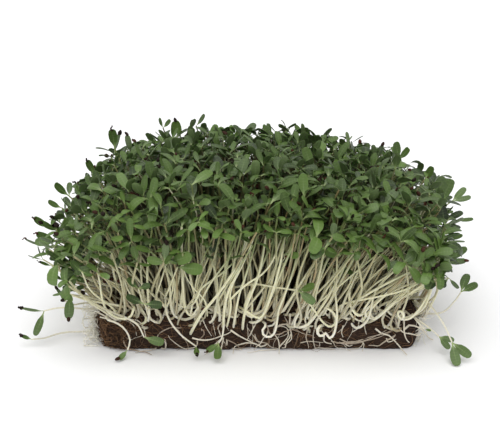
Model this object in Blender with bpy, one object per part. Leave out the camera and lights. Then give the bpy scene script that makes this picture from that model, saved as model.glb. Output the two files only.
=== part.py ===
"""A block of young salad sprouts on its slab of growing medium, as it is lifted out of a tray.

The slab of dark peat lies flat. Tufts of sprouts stand in plain holes in its top, each tuft
knitted together by a plug of roots and seed coats. The outer stems lean outwards, so that the
leaves make a wide dome, and a few stray sprouts hang over the edge down to the surface.
Pale roots run down the four sides of the slab.

Metres, +Z up, origin at the middle of the slab's underside, +X along its longer side.
"""

import math
import random

import bmesh
import bpy
from mathutils import Vector
from mathutils.bvhtree import BVHTree

# Slab of growing medium
SLAB_LENGTH = 0.150
SLAB_WIDTH = 0.110
SLAB_HEIGHT = 0.022
SLAB_CORNER = 0.009
SLAB_EDGE = 0.0025

# Tufts and the plugs that they stand on. Those in the middle of a long side have more sprouts.
TUFT_COLUMNS = 7
TUFT_ROWS = 5
TUFT_PITCH = 0.020
SPROUTS_PER_TUFT = 4
SPROUTS_PER_LONG_SIDE_TUFT = 5
PLUG_RADIUS = 0.0080
PLUG_TOP_RADIUS = 0.0070
PLUG_SIDES = 6
PLUG_DEPTH = 0.007
PLUG_STANDS_PROUD = 0.0018
HOLE_CLEARANCE = 0.0003
STEM_SPACING = 0.0052
FOOT_LIFT = 0.0006

# Dome of leaves: its highest point, and its reach from the middle at the level of the slab
DOME_HEIGHT = 0.086
DOME_REACH_X = 0.113
DOME_REACH_Y = 0.083
DOME_FULLNESS = 0.7
CANOPY_HALF_LENGTH = 0.103
CANOPY_HALF_WIDTH = 0.072
CANOPY_DEPTH = 0.016
HEAD_REACH = 0.90
HEAD_BELOW_DOME = 0.006
LOWEST_HEAD = 0.008
HEAD_WANDER = (0.004, 0.009)

# One sprout
STEM_HALF = 0.0009
LEAF_LENGTH = (0.0145, 0.0185)
LEAST_LEAF = 0.65
LEAF_HALF_WIDTH = 0.0049
LEAF_HALF_THICKNESS = 0.0004
LEAF_RISE = (math.radians(5), math.radians(58))
LEAF_ARCH = math.radians(-38)
LEAF_OUTLINE = ((0.26, 0.42), (0.66, 1.00), (1.00, 0.46))
NODE_LENGTH = 0.0016
STEM_SECTIONS = 2
SHOULDER_SHARE = 0.25
SHOULDER_HEIGHT = 0.013
HULL_HALF_LENGTH = 0.0017
HULL_HALF_WIDTH = 0.0009
HULL_EVERY = 2
SPROUT_GAP = 0.0003
TRIES = 260
STRAY_LEAF_LENGTH = 0.0100
SEED = 20

# Roots down the sides
ROOT_RADIUS = 0.0007
ROOT_STAND_OFF = 0.0004
ROOT_TOP = 0.0185
ROOT_FOOT = 0.0011
ROOT_SPACING = 0.0160
ROOT_SWING = 0.0055
ROOT_SHORTEST = 0.55
ROOT_WANDER = 0.0012
ROOT_LEAN = 0.0012
ROOT_STEPS = (0.45, 1.0)

# Stray sprouts that hang over the slab's edge: column and row of their tuft, the points that the
# stem runs through, the way in which their blades part, and how far the blades close on each other
STRAYS = (
    (0, 0, ((-0.066, -0.052, 0.026), (-0.082, -0.060, 0.024), (-0.094, -0.062, 0.0135)), (0, 1, 0), 0.9),
    (0, 0, ((-0.070, -0.040, 0.027), (-0.085, -0.043, 0.0130), (-0.100, -0.045, 0.0105)), (0, 0, 1), 1.25),
    (0, 1, ((-0.071, -0.018, 0.028), (-0.084, -0.017, 0.030), (-0.090, -0.016, 0.027)), (0, 0, 1), 0.5),
    (2, 0, ((-0.022, -0.054, 0.029), (-0.019, -0.065, 0.021), (-0.017, -0.068, 0.0100)), (1, 0, 0), 1.1),
    (6, 0, ((0.066, -0.052, 0.028), (0.080, -0.061, 0.021), (0.086, -0.065, 0.0080)), (0.6, 0.8, 0), 0.9),
    (6, 1, ((0.071, -0.022, 0.027), (0.083, -0.020, 0.028), (0.091, -0.018, 0.040)), (1, 0.3, 0), 0.9),
    (6, 4, ((0.068, 0.050, 0.028), (0.080, 0.058, 0.022), (0.086, 0.062, 0.0105)), (-0.6, 0.8, 0), 0.9),
    (1, 4, ((-0.044, 0.054, 0.028), (-0.048, 0.064, 0.018), (-0.051, 0.067, 0.0100)), (1, 0, 0), 1.0),
)

# Colour, roughness
LEAF_GREEN = ("sprout_leaf", (0.055, 0.125, 0.030), 0.48)
STEM_PALE = ("sprout_stem", (0.56, 0.60, 0.33), 0.42)
HULL_BROWN = ("seed_hull", (0.018, 0.010, 0.008), 0.60)
PEAT_BROWN = ("peat", (0.022, 0.013, 0.009), 0.95)
ROOT_CREAM = ("root", (0.62, 0.52, 0.36), 0.55)
LEAF_SLOT, STEM_SLOT, HULL_SLOT = range(3)


def clear_scene():
    """Removes whatever the open file holds."""
    for obj in list(bpy.data.objects):
        bpy.data.objects.remove(obj)


def collection(name):
    """A new collection in the scene."""
    made = bpy.data.collections.new(name)
    bpy.context.scene.collection.children.link(made)
    return made


def material(finish):
    """A plain finish with the piece's own colour and roughness."""
    name, colour, roughness = finish
    made = bpy.data.materials.get(name)
    if made:
        return made
    made = bpy.data.materials.new(name)
    made.use_nodes = True
    shader = made.node_tree.nodes["Principled BSDF"]
    shader.inputs["Base Color"].default_value = (*colour, 1.0)
    shader.inputs["Roughness"].default_value = roughness
    shader.inputs["Metallic"].default_value = 0.0
    return made


def object_from(bm, name, holder, finishes):
    """An object in a collection from a bmesh, with its materials."""
    mesh = bpy.data.meshes.new(name)
    bm.to_mesh(mesh)
    bm.free()
    for finish in finishes:
        mesh.materials.append(material(finish))
    made = bpy.data.objects.new(name, mesh)
    holder.objects.link(made)
    return made


def apply_modifier(obj, modifier):
    """Applies one modifier, as in the modifier panel."""
    bpy.context.view_layer.update()
    with bpy.context.temp_override(object=obj, active_object=obj, selected_objects=[obj]):
        bpy.ops.object.modifier_apply(modifier=modifier.name)


def remove_all(holder):
    """Removes a collection with its objects."""
    for obj in list(holder.objects):
        bpy.data.objects.remove(obj)
    bpy.data.collections.remove(holder)


def tree_of(bm):
    """A search tree over a bmesh, for finding what crosses it."""
    return BVHTree.FromBMesh(bm)


def box_mesh(size, centre):
    """A box as a bmesh, from its size and its centre."""
    bm = bmesh.new()
    bmesh.ops.create_cube(bm, size=1)
    bmesh.ops.scale(bm, vec=size, verts=bm.verts)
    bmesh.ops.translate(bm, vec=centre, verts=bm.verts)
    return bm


def corner_signs(face, across, through):
    """Which side of its middle each corner of a four-cornered face lies on, along two axes."""
    middle = face.calc_center_median()
    offsets = [vert.co - middle for vert in face.verts]
    return [(math.copysign(1, v.dot(across)), math.copysign(1, v.dot(through))) for v in offsets]


def shape_section(face, signs, centre, across, through, half_across, half_through):
    """Moves a four-cornered face to a section of a given size, each corner to its own side."""
    for vert, (side, level) in zip(face.verts, signs):
        vert.co = centre + across * (side * half_across) + through * (level * half_through)


def grow(bm, face, centre, across, through, half_across, half_through):
    """Extrudes a four-cornered face to a new section, and returns the new end face."""
    signs = corner_signs(face, across, through)
    end = bmesh.ops.extrude_discrete_faces(bm, faces=[face])["faces"][0]
    shape_section(end, signs, centre, across, through, half_across, half_through)
    return end


def dome_height(x, y):
    """Height of the top of the leaves above the surface, over a point of the plan."""
    spread = (abs(x) / DOME_REACH_X) ** 4 + (abs(y) / DOME_REACH_Y) ** 4
    return SLAB_HEIGHT + (DOME_HEIGHT - SLAB_HEIGHT) * max(0.0, 1 - spread) ** DOME_FULLNESS


def canopy_place(base):
    """Where a stem's head comes in plan: nearly overhead in the middle, well outwards at the edge."""
    half_x = TUFT_PITCH * (TUFT_COLUMNS - 1) / 2 + STEM_SPACING
    half_y = TUFT_PITCH * (TUFT_ROWS - 1) / 2 + STEM_SPACING
    return (
        base.x / half_x * CANOPY_HALF_LENGTH * HEAD_REACH,
        base.y / half_y * CANOPY_HALF_WIDTH * HEAD_REACH,
    )


def stem_route(base, head):
    """Points of a stem that rises from its base and bends over towards its head."""
    shoulder = base.lerp(head, SHOULDER_SHARE)
    shoulder.z = max((base.z + head.z) / 2, base.z + SHOULDER_HEIGHT)
    route = []
    for step in range(1, STEM_SECTIONS + 1):
        t = step / STEM_SECTIONS
        route.append(base * (1 - t) ** 2 + shoulder * (2 * t * (1 - t)) + head * t**2)
    return route


def leaf(bm, face, start, along, up, across, length, rise, swell):
    """Grows one blade out of a side face of the stem's head, arching as it goes, and returns its tip."""
    travelled = 0.0
    point = start
    for reach, width in LEAF_OUTLINE:
        angle = rise + LEAF_ARCH * reach
        ahead = along * math.cos(angle) + up * math.sin(angle)
        through = up * math.cos(angle) - along * math.sin(angle)
        point = point + ahead * (length * (reach - travelled))
        travelled = reach
        face = grow(
            bm, face, point, across, through, LEAF_HALF_WIDTH * width + swell, LEAF_HALF_THICKNESS + swell
        )
    return point


def stem_frames(points, spread):
    """The axes of a stem at each of its points, turning with it, as (along, across, up).

    They are worked out from the head down, where along lies in the plane of the two blades.
    """
    ways = [(after - before).normalized() for before, after in zip(points, points[1:])]
    ups = [ways[0]] + [(a + b).normalized() for a, b in zip(ways, ways[1:])] + [ways[-1]]
    along = (spread - ups[-1] * spread.dot(ups[-1])).normalized()
    frames = [(along, ups[-1].cross(along), ups[-1])]
    for above, below in zip(reversed(ups), reversed(ups[:-1])):
        along = above.rotation_difference(below) @ along
        frames.insert(0, (along, below.cross(along), below))
    return frames


def sprout_mesh(base, route, spread, length, rises, swell=0.0):
    """One sprout: a stem through the points of its route, and two blades that leave its head.

    The blades part along spread and against it. Returns the mesh and the tips of both blades.
    """
    half = STEM_HALF + swell
    frames = stem_frames([base] + route, spread)
    along, across, up = frames[0]
    bm = box_mesh((2 * half, 2 * half, 2 * half), Vector((0, 0, 0)))
    for vert in bm.verts:
        x, y, z = vert.co
        vert.co = base + along * x + across * y + up * z
    top = max(bm.faces, key=lambda f: (f.calc_center_median() - base).dot(up))
    signs = corner_signs(top, along, across)
    along, across, up = frames[1]
    shape_section(top, signs, route[0], along, across, half, half)
    for point, (along, across, up) in zip(route[1:], frames[2:]):
        top = grow(bm, top, point, along, across, half, half)
    head = route[-1] + up * NODE_LENGTH
    top = grow(bm, top, head, along, across, half, half)
    sides = [f for edge in top.edges for f in edge.link_faces if f is not top]
    sides.sort(key=lambda f: f.calc_center_median().dot(along))
    tips = []
    for face, way, rise in ((sides[-1], 1, rises[0]), (sides[0], -1, rises[1])):
        start = face.calc_center_median()
        tips.append(leaf(bm, face, start, along * way, up, across, length, rise, swell))
    for face in bm.faces:
        is_leaf = (face.calc_center_median() - head).length > 3 * NODE_LENGTH
        face.material_index = LEAF_SLOT if is_leaf and face.calc_area() > 4e-6 else STEM_SLOT
    bmesh.ops.triangulate(bm, faces=bm.faces)
    bmesh.ops.recalc_face_normals(bm, faces=bm.faces)
    return bm, tips


def lowest(bm):
    """Height of a mesh's lowest point."""
    return min(vert.co.z for vert in bm.verts)


def is_clear(bm, trees):
    """Whether a mesh crosses none of the others and stays above the surface."""
    own = tree_of(bm)
    return lowest(bm) > 0 and not any(own.overlap(other) for other in trees)


def seed_hull(at, towards, swell=0.0):
    """A seed coat that still grips the tip of a blade."""
    half_width, half_length = HULL_HALF_WIDTH + swell, HULL_HALF_LENGTH + swell
    bm = bmesh.new()
    bmesh.ops.create_uvsphere(bm, u_segments=4, v_segments=3, radius=1)
    bmesh.ops.scale(bm, vec=(half_width, half_width, half_length), verts=bm.verts)
    turn = Vector((0, 0, 1)).rotation_difference(towards).to_matrix()
    bmesh.ops.rotate(bm, cent=(0, 0, 0), matrix=turn, verts=bm.verts)
    bmesh.ops.translate(bm, vec=at, verts=bm.verts)
    for face in bm.faces:
        face.material_index = HULL_SLOT
    return bm


def plug_centre(column, row):
    """Middle of a tuft's plug in plan."""
    return Vector(
        (
            (column - (TUFT_COLUMNS - 1) / 2) * TUFT_PITCH,
            (row - (TUFT_ROWS - 1) / 2) * TUFT_PITCH,
            0,
        )
    )


def plug_mesh(column, row, spare=0.0):
    """The knot of roots that a tuft stands on, or with some spare the hole that it goes in."""
    depth = PLUG_DEPTH + PLUG_STANDS_PROUD
    bm = bmesh.new()
    bmesh.ops.create_cone(
        bm,
        cap_ends=True,
        segments=PLUG_SIDES,
        radius1=PLUG_RADIUS + spare,
        radius2=(PLUG_RADIUS if spare else PLUG_TOP_RADIUS) + spare,
        depth=depth + 2 * spare,
    )
    middle = plug_centre(column, row) + Vector((0, 0, SLAB_HEIGHT - PLUG_DEPTH + depth / 2))
    bmesh.ops.translate(bm, vec=middle, verts=bm.verts)
    for face in bm.faces:
        face.material_index = STEM_SLOT
    return bm


def stray_sprouts(static):
    """The sprouts that hang over the edge: their meshes, by tuft."""
    made = {}
    for column, row, points, way, closing in STRAYS:
        route = [Vector(p) for p in points]
        middle = plug_centre(column, row)
        outward = (route[0] - middle).to_2d().normalized() * (PLUG_TOP_RADIUS * 0.5)
        base = Vector((middle.x + outward.x, middle.y + outward.y, SLAB_HEIGHT + FOOT_LIFT))
        spread = Vector(way).normalized()
        shape = (base, route, spread, STRAY_LEAF_LENGTH, (closing, closing))
        swollen, _ = sprout_mesh(*shape, SPROUT_GAP)
        if not is_clear(swollen, static):
            raise ValueError(f"the stray sprout of tuft {column}, {row} crosses the slab or a root")
        swollen.free()
        made.setdefault((column, row), []).append(sprout_mesh(*shape))
    return made


def tuft_sprouts(column, row, taken, rng):
    """The upright sprouts of a tuft, each turned until it crosses nothing that already stands."""
    middle = plug_centre(column, row)
    on_long_side = 0 < column < TUFT_COLUMNS - 1 and row in (0, TUFT_ROWS - 1)
    count = SPROUTS_PER_LONG_SIDE_TUFT if on_long_side else SPROUTS_PER_TUFT
    turn = rng.uniform(0, math.pi / 2)
    made = []
    for number in range(count):
        angle = turn + number * 2 * math.pi / count
        base = middle + Vector((math.cos(angle), math.sin(angle), 0)) * STEM_SPACING
        base.z = SLAB_HEIGHT + FOOT_LIFT
        for attempt in range(TRIES):
            used = attempt / TRIES
            x, y = canopy_place(base)
            loose = HEAD_WANDER[0] * (1 - used) + HEAD_WANDER[1] * used
            x += rng.uniform(-loose, loose)
            y += rng.uniform(-loose, loose)
            drop = HEAD_BELOW_DOME + CANOPY_DEPTH * rng.random()
            head = Vector((x, y, max(SLAB_HEIGHT + LOWEST_HEAD, dome_height(x, y) - drop)))
            azimuth = rng.uniform(0, 2 * math.pi)
            spread = Vector((math.cos(azimuth), math.sin(azimuth), 0))
            size = rng.uniform(*LEAF_LENGTH) * (1 - used + LEAST_LEAF * used)
            rises = [rng.uniform(*LEAF_RISE) for _ in range(2)]
            route = stem_route(base, head)
            swollen, _ = sprout_mesh(base, route, spread, size, rises, SPROUT_GAP)
            clear = is_clear(swollen, taken)
            swollen.free()
            if clear:
                made.append(sprout_mesh(base, route, spread, size, rises))
                taken.append(tree_of(made[-1][0]))
                break
    return made


def clear_hull(sprouts, others, rng):
    """A seed coat on some blade of a tuft, where it crosses none of the others, or None."""
    for bm, tips in rng.sample(sprouts, len(sprouts)):
        centre = sum((v.co for v in bm.verts), Vector()) / len(bm.verts)
        for tip in tips:
            towards = (tip - centre).normalized()
            swollen = seed_hull(tip, towards, SPROUT_GAP)
            clear = is_clear(swollen, others)
            swollen.free()
            if clear:
                return seed_hull(tip, towards)
    return None


def build_tuft(column, row, sprouts, hull, parts):
    """Fuses a tuft's sprouts, and the seed coat if it has one, with the plug below them."""
    name = f"tuft_{'abcdefg'[column]}{row + 1}"
    finishes = (LEAF_GREEN, STEM_PALE, HULL_BROWN)
    tuft = object_from(plug_mesh(column, row), name, parts, finishes)
    pieces = collection(name + "_pieces")
    for bm, _ in sprouts:
        object_from(bm, f"{name}_sprout", pieces, finishes)
    if hull:
        object_from(hull, f"{name}_hull", pieces, finishes)
    union = tuft.modifiers.new("fuse", "BOOLEAN")
    union.operation = "UNION"
    union.operand_type = "COLLECTION"
    union.collection = pieces
    union.material_mode = "TRANSFER"
    apply_modifier(tuft, union)
    remove_all(pieces)
    return tuft


def build_tufts(parts, static):
    """All the tufts, in rows from the front, none of them crossing another."""
    rng = random.Random(SEED)
    strays = stray_sprouts(static)
    taken = list(static)
    for sprouts in strays.values():
        taken.extend(tree_of(bm) for bm, _ in sprouts)
    standing = {}
    places = [(c, r) for r in range(TUFT_ROWS) for c in range(TUFT_COLUMNS)]
    for place in places:
        standing[place] = tuft_sprouts(*place, taken, rng)
        standing[place].extend(strays.get(place, []))
    trees = {place: [tree_of(bm) for bm, _ in standing[place]] for place in places}
    hulls = {}
    for column, row in places:
        if (column + row) % HULL_EVERY == 0:
            others = static + [tree for spot in places if spot != (column, row) for tree in trees[spot]]
            hulls[column, row] = clear_hull(standing[column, row], others, rng)
            if hulls[column, row]:
                trees[column, row].append(tree_of(hulls[column, row]))
    for place in places:
        build_tuft(*place, standing[place], hulls.get(place), parts)


def build_slab(parts):
    """The slab of peat, rounded at its corners, with a plain hole for each plug."""
    size = Vector((SLAB_LENGTH, SLAB_WIDTH, SLAB_HEIGHT))
    bm = box_mesh(size, Vector((0, 0, SLAB_HEIGHT / 2)))
    upright = [e for e in bm.edges if abs(e.verts[0].co.z - e.verts[1].co.z) > SLAB_HEIGHT / 2]
    bmesh.ops.bevel(bm, geom=upright, offset=SLAB_CORNER, segments=3, profile=0.5, affect="EDGES")
    level = [e for e in bm.edges if abs(e.verts[0].co.z - e.verts[1].co.z) < SLAB_HEIGHT / 2]
    rim = [e for e in level if len(e.link_faces) == 2 and e.calc_face_angle(0) > 1]
    bmesh.ops.bevel(bm, geom=rim, offset=SLAB_EDGE, segments=1, profile=0.5, affect="EDGES")
    slab = object_from(bm, "peat_slab", parts, (PEAT_BROWN,))
    cutters = collection("slab_cutters")
    for row in range(TUFT_ROWS):
        for column in range(TUFT_COLUMNS):
            hole = plug_mesh(column, row, HOLE_CLEARANCE)
            object_from(hole, f"hole_{column}_{row}", cutters, (PEAT_BROWN,))
    cut = slab.modifiers.new("holes", "BOOLEAN")
    cut.operation = "DIFFERENCE"
    cut.operand_type = "COLLECTION"
    cut.collection = cutters
    apply_modifier(slab, cut)
    remove_all(cutters)
    return slab


def root_tube(points, name, holder):
    """A thin root through some points, as a closed mesh."""
    curve = bpy.data.curves.new(name, "CURVE")
    curve.dimensions = "3D"
    curve.bevel_depth = ROOT_RADIUS
    curve.bevel_resolution = 0
    curve.use_fill_caps = True
    spline = curve.splines.new("POLY")
    spline.points.add(len(points) - 1)
    for spot, point in zip(spline.points, points):
        spot.co = (*point, 1)
    guide = bpy.data.objects.new(name, curve)
    holder.objects.link(guide)
    bpy.context.view_layer.update()
    mesh = bpy.data.meshes.new_from_object(guide.evaluated_get(bpy.context.evaluated_depsgraph_get()))
    bm = bmesh.new()
    bm.from_mesh(mesh)
    bmesh.ops.remove_doubles(bm, verts=bm.verts, dist=1e-6)
    bmesh.ops.recalc_face_normals(bm, faces=bm.faces)
    bpy.data.objects.remove(guide)
    bpy.data.meshes.remove(mesh)
    return object_from(bm, name, holder, (ROOT_CREAM,))


def build_roots(parts, name, run, outward, width, rng):
    """The roots on one side of the slab: a runner along its top, and strands that hang from it.

    run is the way along the side, outward the way out of it, and width the length to cover.
    """
    half_depth = (SLAB_WIDTH if abs(outward.y) > 0.5 else SLAB_LENGTH) / 2
    stand = outward * (half_depth + ROOT_STAND_OFF + ROOT_RADIUS)
    count = max(3, round(width / ROOT_SPACING))
    runner = []
    for step in range(count + 1):
        along = run * (width * (step / count - 0.5))
        runner.append(stand + along + Vector((0, 0, ROOT_TOP + rng.uniform(-ROOT_WANDER, ROOT_WANDER))))
    side = root_tube(runner, name, parts)
    strands = collection(name + "_strands")
    for step in range(count):
        start = runner[step].lerp(runner[step + 1], 0.5)
        swing = rng.uniform(-ROOT_SWING, ROOT_SWING)
        drop = (start.z - ROOT_FOOT) * rng.uniform(ROOT_SHORTEST, 1)
        points = [start + Vector((0, 0, ROOT_RADIUS * 0.4))]
        for part in ROOT_STEPS:
            sway = swing * math.sin(part * math.pi * 0.8) + rng.uniform(-ROOT_WANDER, ROOT_WANDER)
            points.append(start + run * sway + Vector((0, 0, -drop * part)) + outward * (ROOT_LEAN * part))
        root_tube(points, f"{name}_strand", strands)
    union = side.modifiers.new("fuse", "BOOLEAN")
    union.operation = "UNION"
    union.operand_type = "COLLECTION"
    union.collection = strands
    apply_modifier(side, union)
    remove_all(strands)
    return side


def main():
    """Builds the slab, its roots and the tufts that stand in it."""
    clear_scene()
    parts = collection("microgreens_block")
    slab = build_slab(parts)
    rng = random.Random(SEED + 1)
    x_axis, y_axis = Vector((1, 0, 0)), Vector((0, 1, 0))
    long_side = SLAB_LENGTH - 2 * SLAB_CORNER
    short_side = SLAB_WIDTH - 2 * SLAB_CORNER
    sides = [
        build_roots(parts, "roots_front", x_axis, -y_axis, long_side, rng),
        build_roots(parts, "roots_back", x_axis, y_axis, long_side, rng),
        build_roots(parts, "roots_left", y_axis, -x_axis, short_side, rng),
        build_roots(parts, "roots_right", y_axis, x_axis, short_side, rng),
    ]
    static = []
    for obj in [slab] + sides:
        bm = bmesh.new()
        bm.from_mesh(obj.data)
        static.append(tree_of(bm))
        bm.free()
    build_tufts(parts, static)


main()
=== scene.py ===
"""The looks of a block of young salad sprouts that stands on its slab of peat.

Sizes are in metres, in the frame of the solids: +X along the slab's longer side, +Y to the
back, +Z up, with the origin at the middle of the slab's underside.
"""

import logging
import math
import random
from collections.abc import Callable, Iterable, Sequence
from dataclasses import dataclass, field
from enum import Enum

import bpy
import numpy as np
from mathutils import Matrix, Vector
from mathutils.bvhtree import BVHTree


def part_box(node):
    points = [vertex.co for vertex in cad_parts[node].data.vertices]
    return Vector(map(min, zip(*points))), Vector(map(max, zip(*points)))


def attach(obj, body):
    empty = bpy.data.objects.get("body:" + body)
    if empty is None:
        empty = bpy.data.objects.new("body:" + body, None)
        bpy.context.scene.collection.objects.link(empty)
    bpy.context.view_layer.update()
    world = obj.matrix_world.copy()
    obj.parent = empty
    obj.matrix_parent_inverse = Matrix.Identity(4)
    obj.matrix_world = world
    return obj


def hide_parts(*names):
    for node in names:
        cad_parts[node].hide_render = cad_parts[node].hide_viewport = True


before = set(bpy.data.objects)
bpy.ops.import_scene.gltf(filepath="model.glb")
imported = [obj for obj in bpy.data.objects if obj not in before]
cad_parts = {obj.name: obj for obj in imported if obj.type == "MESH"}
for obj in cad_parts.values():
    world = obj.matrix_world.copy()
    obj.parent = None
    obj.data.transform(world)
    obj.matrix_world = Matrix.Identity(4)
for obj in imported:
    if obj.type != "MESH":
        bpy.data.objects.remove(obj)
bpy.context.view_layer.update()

Thing = bpy.types.Object
Finish = bpy.types.Material

log = logging.getLogger("sprout_block")
SEED = 7
ROWS = 5
COLUMNS = "abcdefg"
UP = Vector((0, 0, 1))
MILLIMETRES = 1000
FACE_DEPTH = -58
NEAR = 1e-5
SMOOTH_BELOW = math.radians(48)


def srgb(*channels: int) -> tuple[float, float, float]:
    """A colour as it is picked on a screen, red, green and blue from 0 to 255, in linear light."""
    shares = [c / 255 for c in channels]
    return tuple(((c + 0.055) / 1.055) ** 2.4 if c > 0.04045 else c / 12.92 for c in shares)


def clamp(value: float, low: float = 0.0, high: float = 1.0) -> float:
    """The value, held between two others."""
    return max(low, min(high, value))


def metres(points: Sequence[Sequence[float]]) -> list[Vector]:
    """A table's points, given in millimetres. One of two numbers, x and z, is on the slab's front face."""
    full = [p if len(p) == 3 else (p[0], FACE_DEPTH, p[1]) for p in points]
    return [Vector([c / MILLIMETRES for c in p]) for p in full]


def drift(rng: random.Random, *spreads: float) -> Vector:
    """A random vector with a spread along each axis. Where that is 0, nothing is drawn."""
    return Vector([rng.gauss(0, spread) if spread else 0.0 for spread in spreads])


def taper(radius: float, foot: float, loss: float, count: int) -> list[float]:
    """The radius at each ring of a stem or root: foot times the radius, less the loss at its tip."""
    return [radius * (foot - loss * k / (count - 1)) for k in range(count)]


def tie(piece: Thing, slot: str, *nodes: str) -> Thing:
    """Ties a finished piece to the frame.

    Args:
        piece: The piece.
        slot: Not used.
        *nodes: The solids that it stands for.

    Returns:
        The piece.
    """
    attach(piece, "root")
    if nodes:
        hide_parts(*nodes)
    return piece


class Shade:
    """A value on its way through a shader, which takes part in sums and products."""

    def __init__(self, paint: "Paint", socket: bpy.types.NodeSocket) -> None:
        """Keeps the material that the value belongs to, and its output socket."""
        self.paint = paint
        self.socket = socket

    def _math(self, operation: str, first: "Shade | float", second: "Shade | float") -> "Shade":
        """Adds one Math node."""
        return self.paint.node("ShaderNodeMath", {"operation": operation}, {0: first, 1: second})

    def __add__(self, other: "Shade | float") -> "Shade":
        """self + other."""
        return self._math("ADD", self, other)

    def __radd__(self, other: "Shade | float") -> "Shade":
        """other + self."""
        return self._math("ADD", other, self)

    def __sub__(self, other: "Shade | float") -> "Shade":
        """self - other."""
        return self._math("SUBTRACT", self, other)

    def __rsub__(self, other: "Shade | float") -> "Shade":
        """other - self."""
        return self._math("SUBTRACT", other, self)

    def __mul__(self, other: "Shade | float") -> "Shade":
        """self * other."""
        return self._math("MULTIPLY", self, other)

    def __abs__(self) -> "Shade":
        """The value without its sign."""
        return self._math("ABSOLUTE", self, 0.0)

    def ramp(self, low: float, high: float, at_low: float = 0.0, at_high: float = 1.0) -> "Shade":
        """Maps a stretch of the value smoothly to another, and holds its ends."""
        values = {0: self, 1: low, 2: high, 3: at_low, 4: at_high}
        return self.paint.node("ShaderNodeMapRange", {"interpolation_type": "SMOOTHSTEP"}, values)


class Paint:
    """One material, built node by node round a Principled shader."""

    def __init__(self, name: str) -> None:
        """Starts the material.

        Args:
            name: The material's name.
        """
        self.material = bpy.data.materials.new(name)
        self.material.use_nodes = True
        self.tree = self.material.node_tree
        self.shader = self.tree.nodes["Principled BSDF"]

    def feed(self, socket: bpy.types.NodeSocket, value: "Shade | float | Sequence[float]") -> None:
        """Links a value to a socket, or sets it there if it is a constant.

        Args:
            socket: The input socket.
            value: A shade, a number or a colour.
        """
        if isinstance(value, Shade):
            self.tree.links.new(value.socket, socket)
        elif isinstance(value, (tuple, list)) and socket.type == "RGBA":
            socket.default_value = (*value, 1.0)
        else:
            socket.default_value = value

    def node(self, kind: str, settings: dict, values: dict, output: int | str = 0) -> Shade:
        """Adds one node.

        Args:
            kind: The node's type.
            settings: Its settings, which are made first.
            values: Its input sockets, by index or name, and what goes in them.
            output: The output socket that is wanted.

        Returns:
            That output as a shade.
        """
        made = self.tree.nodes.new(kind)
        for key, value in settings.items():
            setattr(made, key, value)
        for key, value in values.items():
            self.feed(made.inputs[key], value)
        return Shade(self, made.outputs[output])

    def place(self, stretch: Sequence[float] = (1.0, 1.0, 1.0)) -> Shade:
        """The point of the surface in the frame, stretched along the axes."""
        point = self.node("ShaderNodeTexCoord", {}, {}, "Object")
        return self.node("ShaderNodeVectorMath", {"operation": "MULTIPLY"}, {0: point, 1: stretch})

    def axis(self, vector: Shade, name: str) -> Shade:
        """One component, X, Y or Z, of a vector."""
        return self.node("ShaderNodeSeparateXYZ", {}, {0: vector}, name)

    def attribute(self, name: str) -> Shade:
        """A number that the mesh carries at its points."""
        return self.node("ShaderNodeAttribute", {"attribute_name": name}, {}, "Fac")

    def noise(self, point: Shade, scale: float, detail: float = 3.0, rough: float = 0.55) -> Shade:
        """Soft noise."""
        values = {"Vector": point, "Scale": scale, "Detail": detail, "Roughness": rough}
        return self.node("ShaderNodeTexNoise", {}, values)

    def blend(self, share: "Shade | float", first: "Shade | tuple", second: "Shade | tuple") -> Shade:
        """Mixes two colours."""
        return self.node("ShaderNodeMix", {"data_type": "RGBA"}, {0: share, 6: first, 7: second}, 2)

    def bump(self, height: Shade, depth: float) -> Shade:
        """A bumped normal."""
        return self.node("ShaderNodeBump", {}, {"Height": height, "Distance": depth, "Strength": 1.0})

    def finish(self, **sockets: "Shade | float | tuple") -> Finish:
        """Feeds the shader's own sockets.

        Args:
            **sockets: The socket's name in small letters with underscores, and its value.

        Returns:
            The finished material.
        """
        for name, value in sockets.items():
            words = name.replace("_", " ").title().replace("Ior", "IOR")
            self.feed(self.shader.inputs[words], value)
        return self.material


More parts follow.
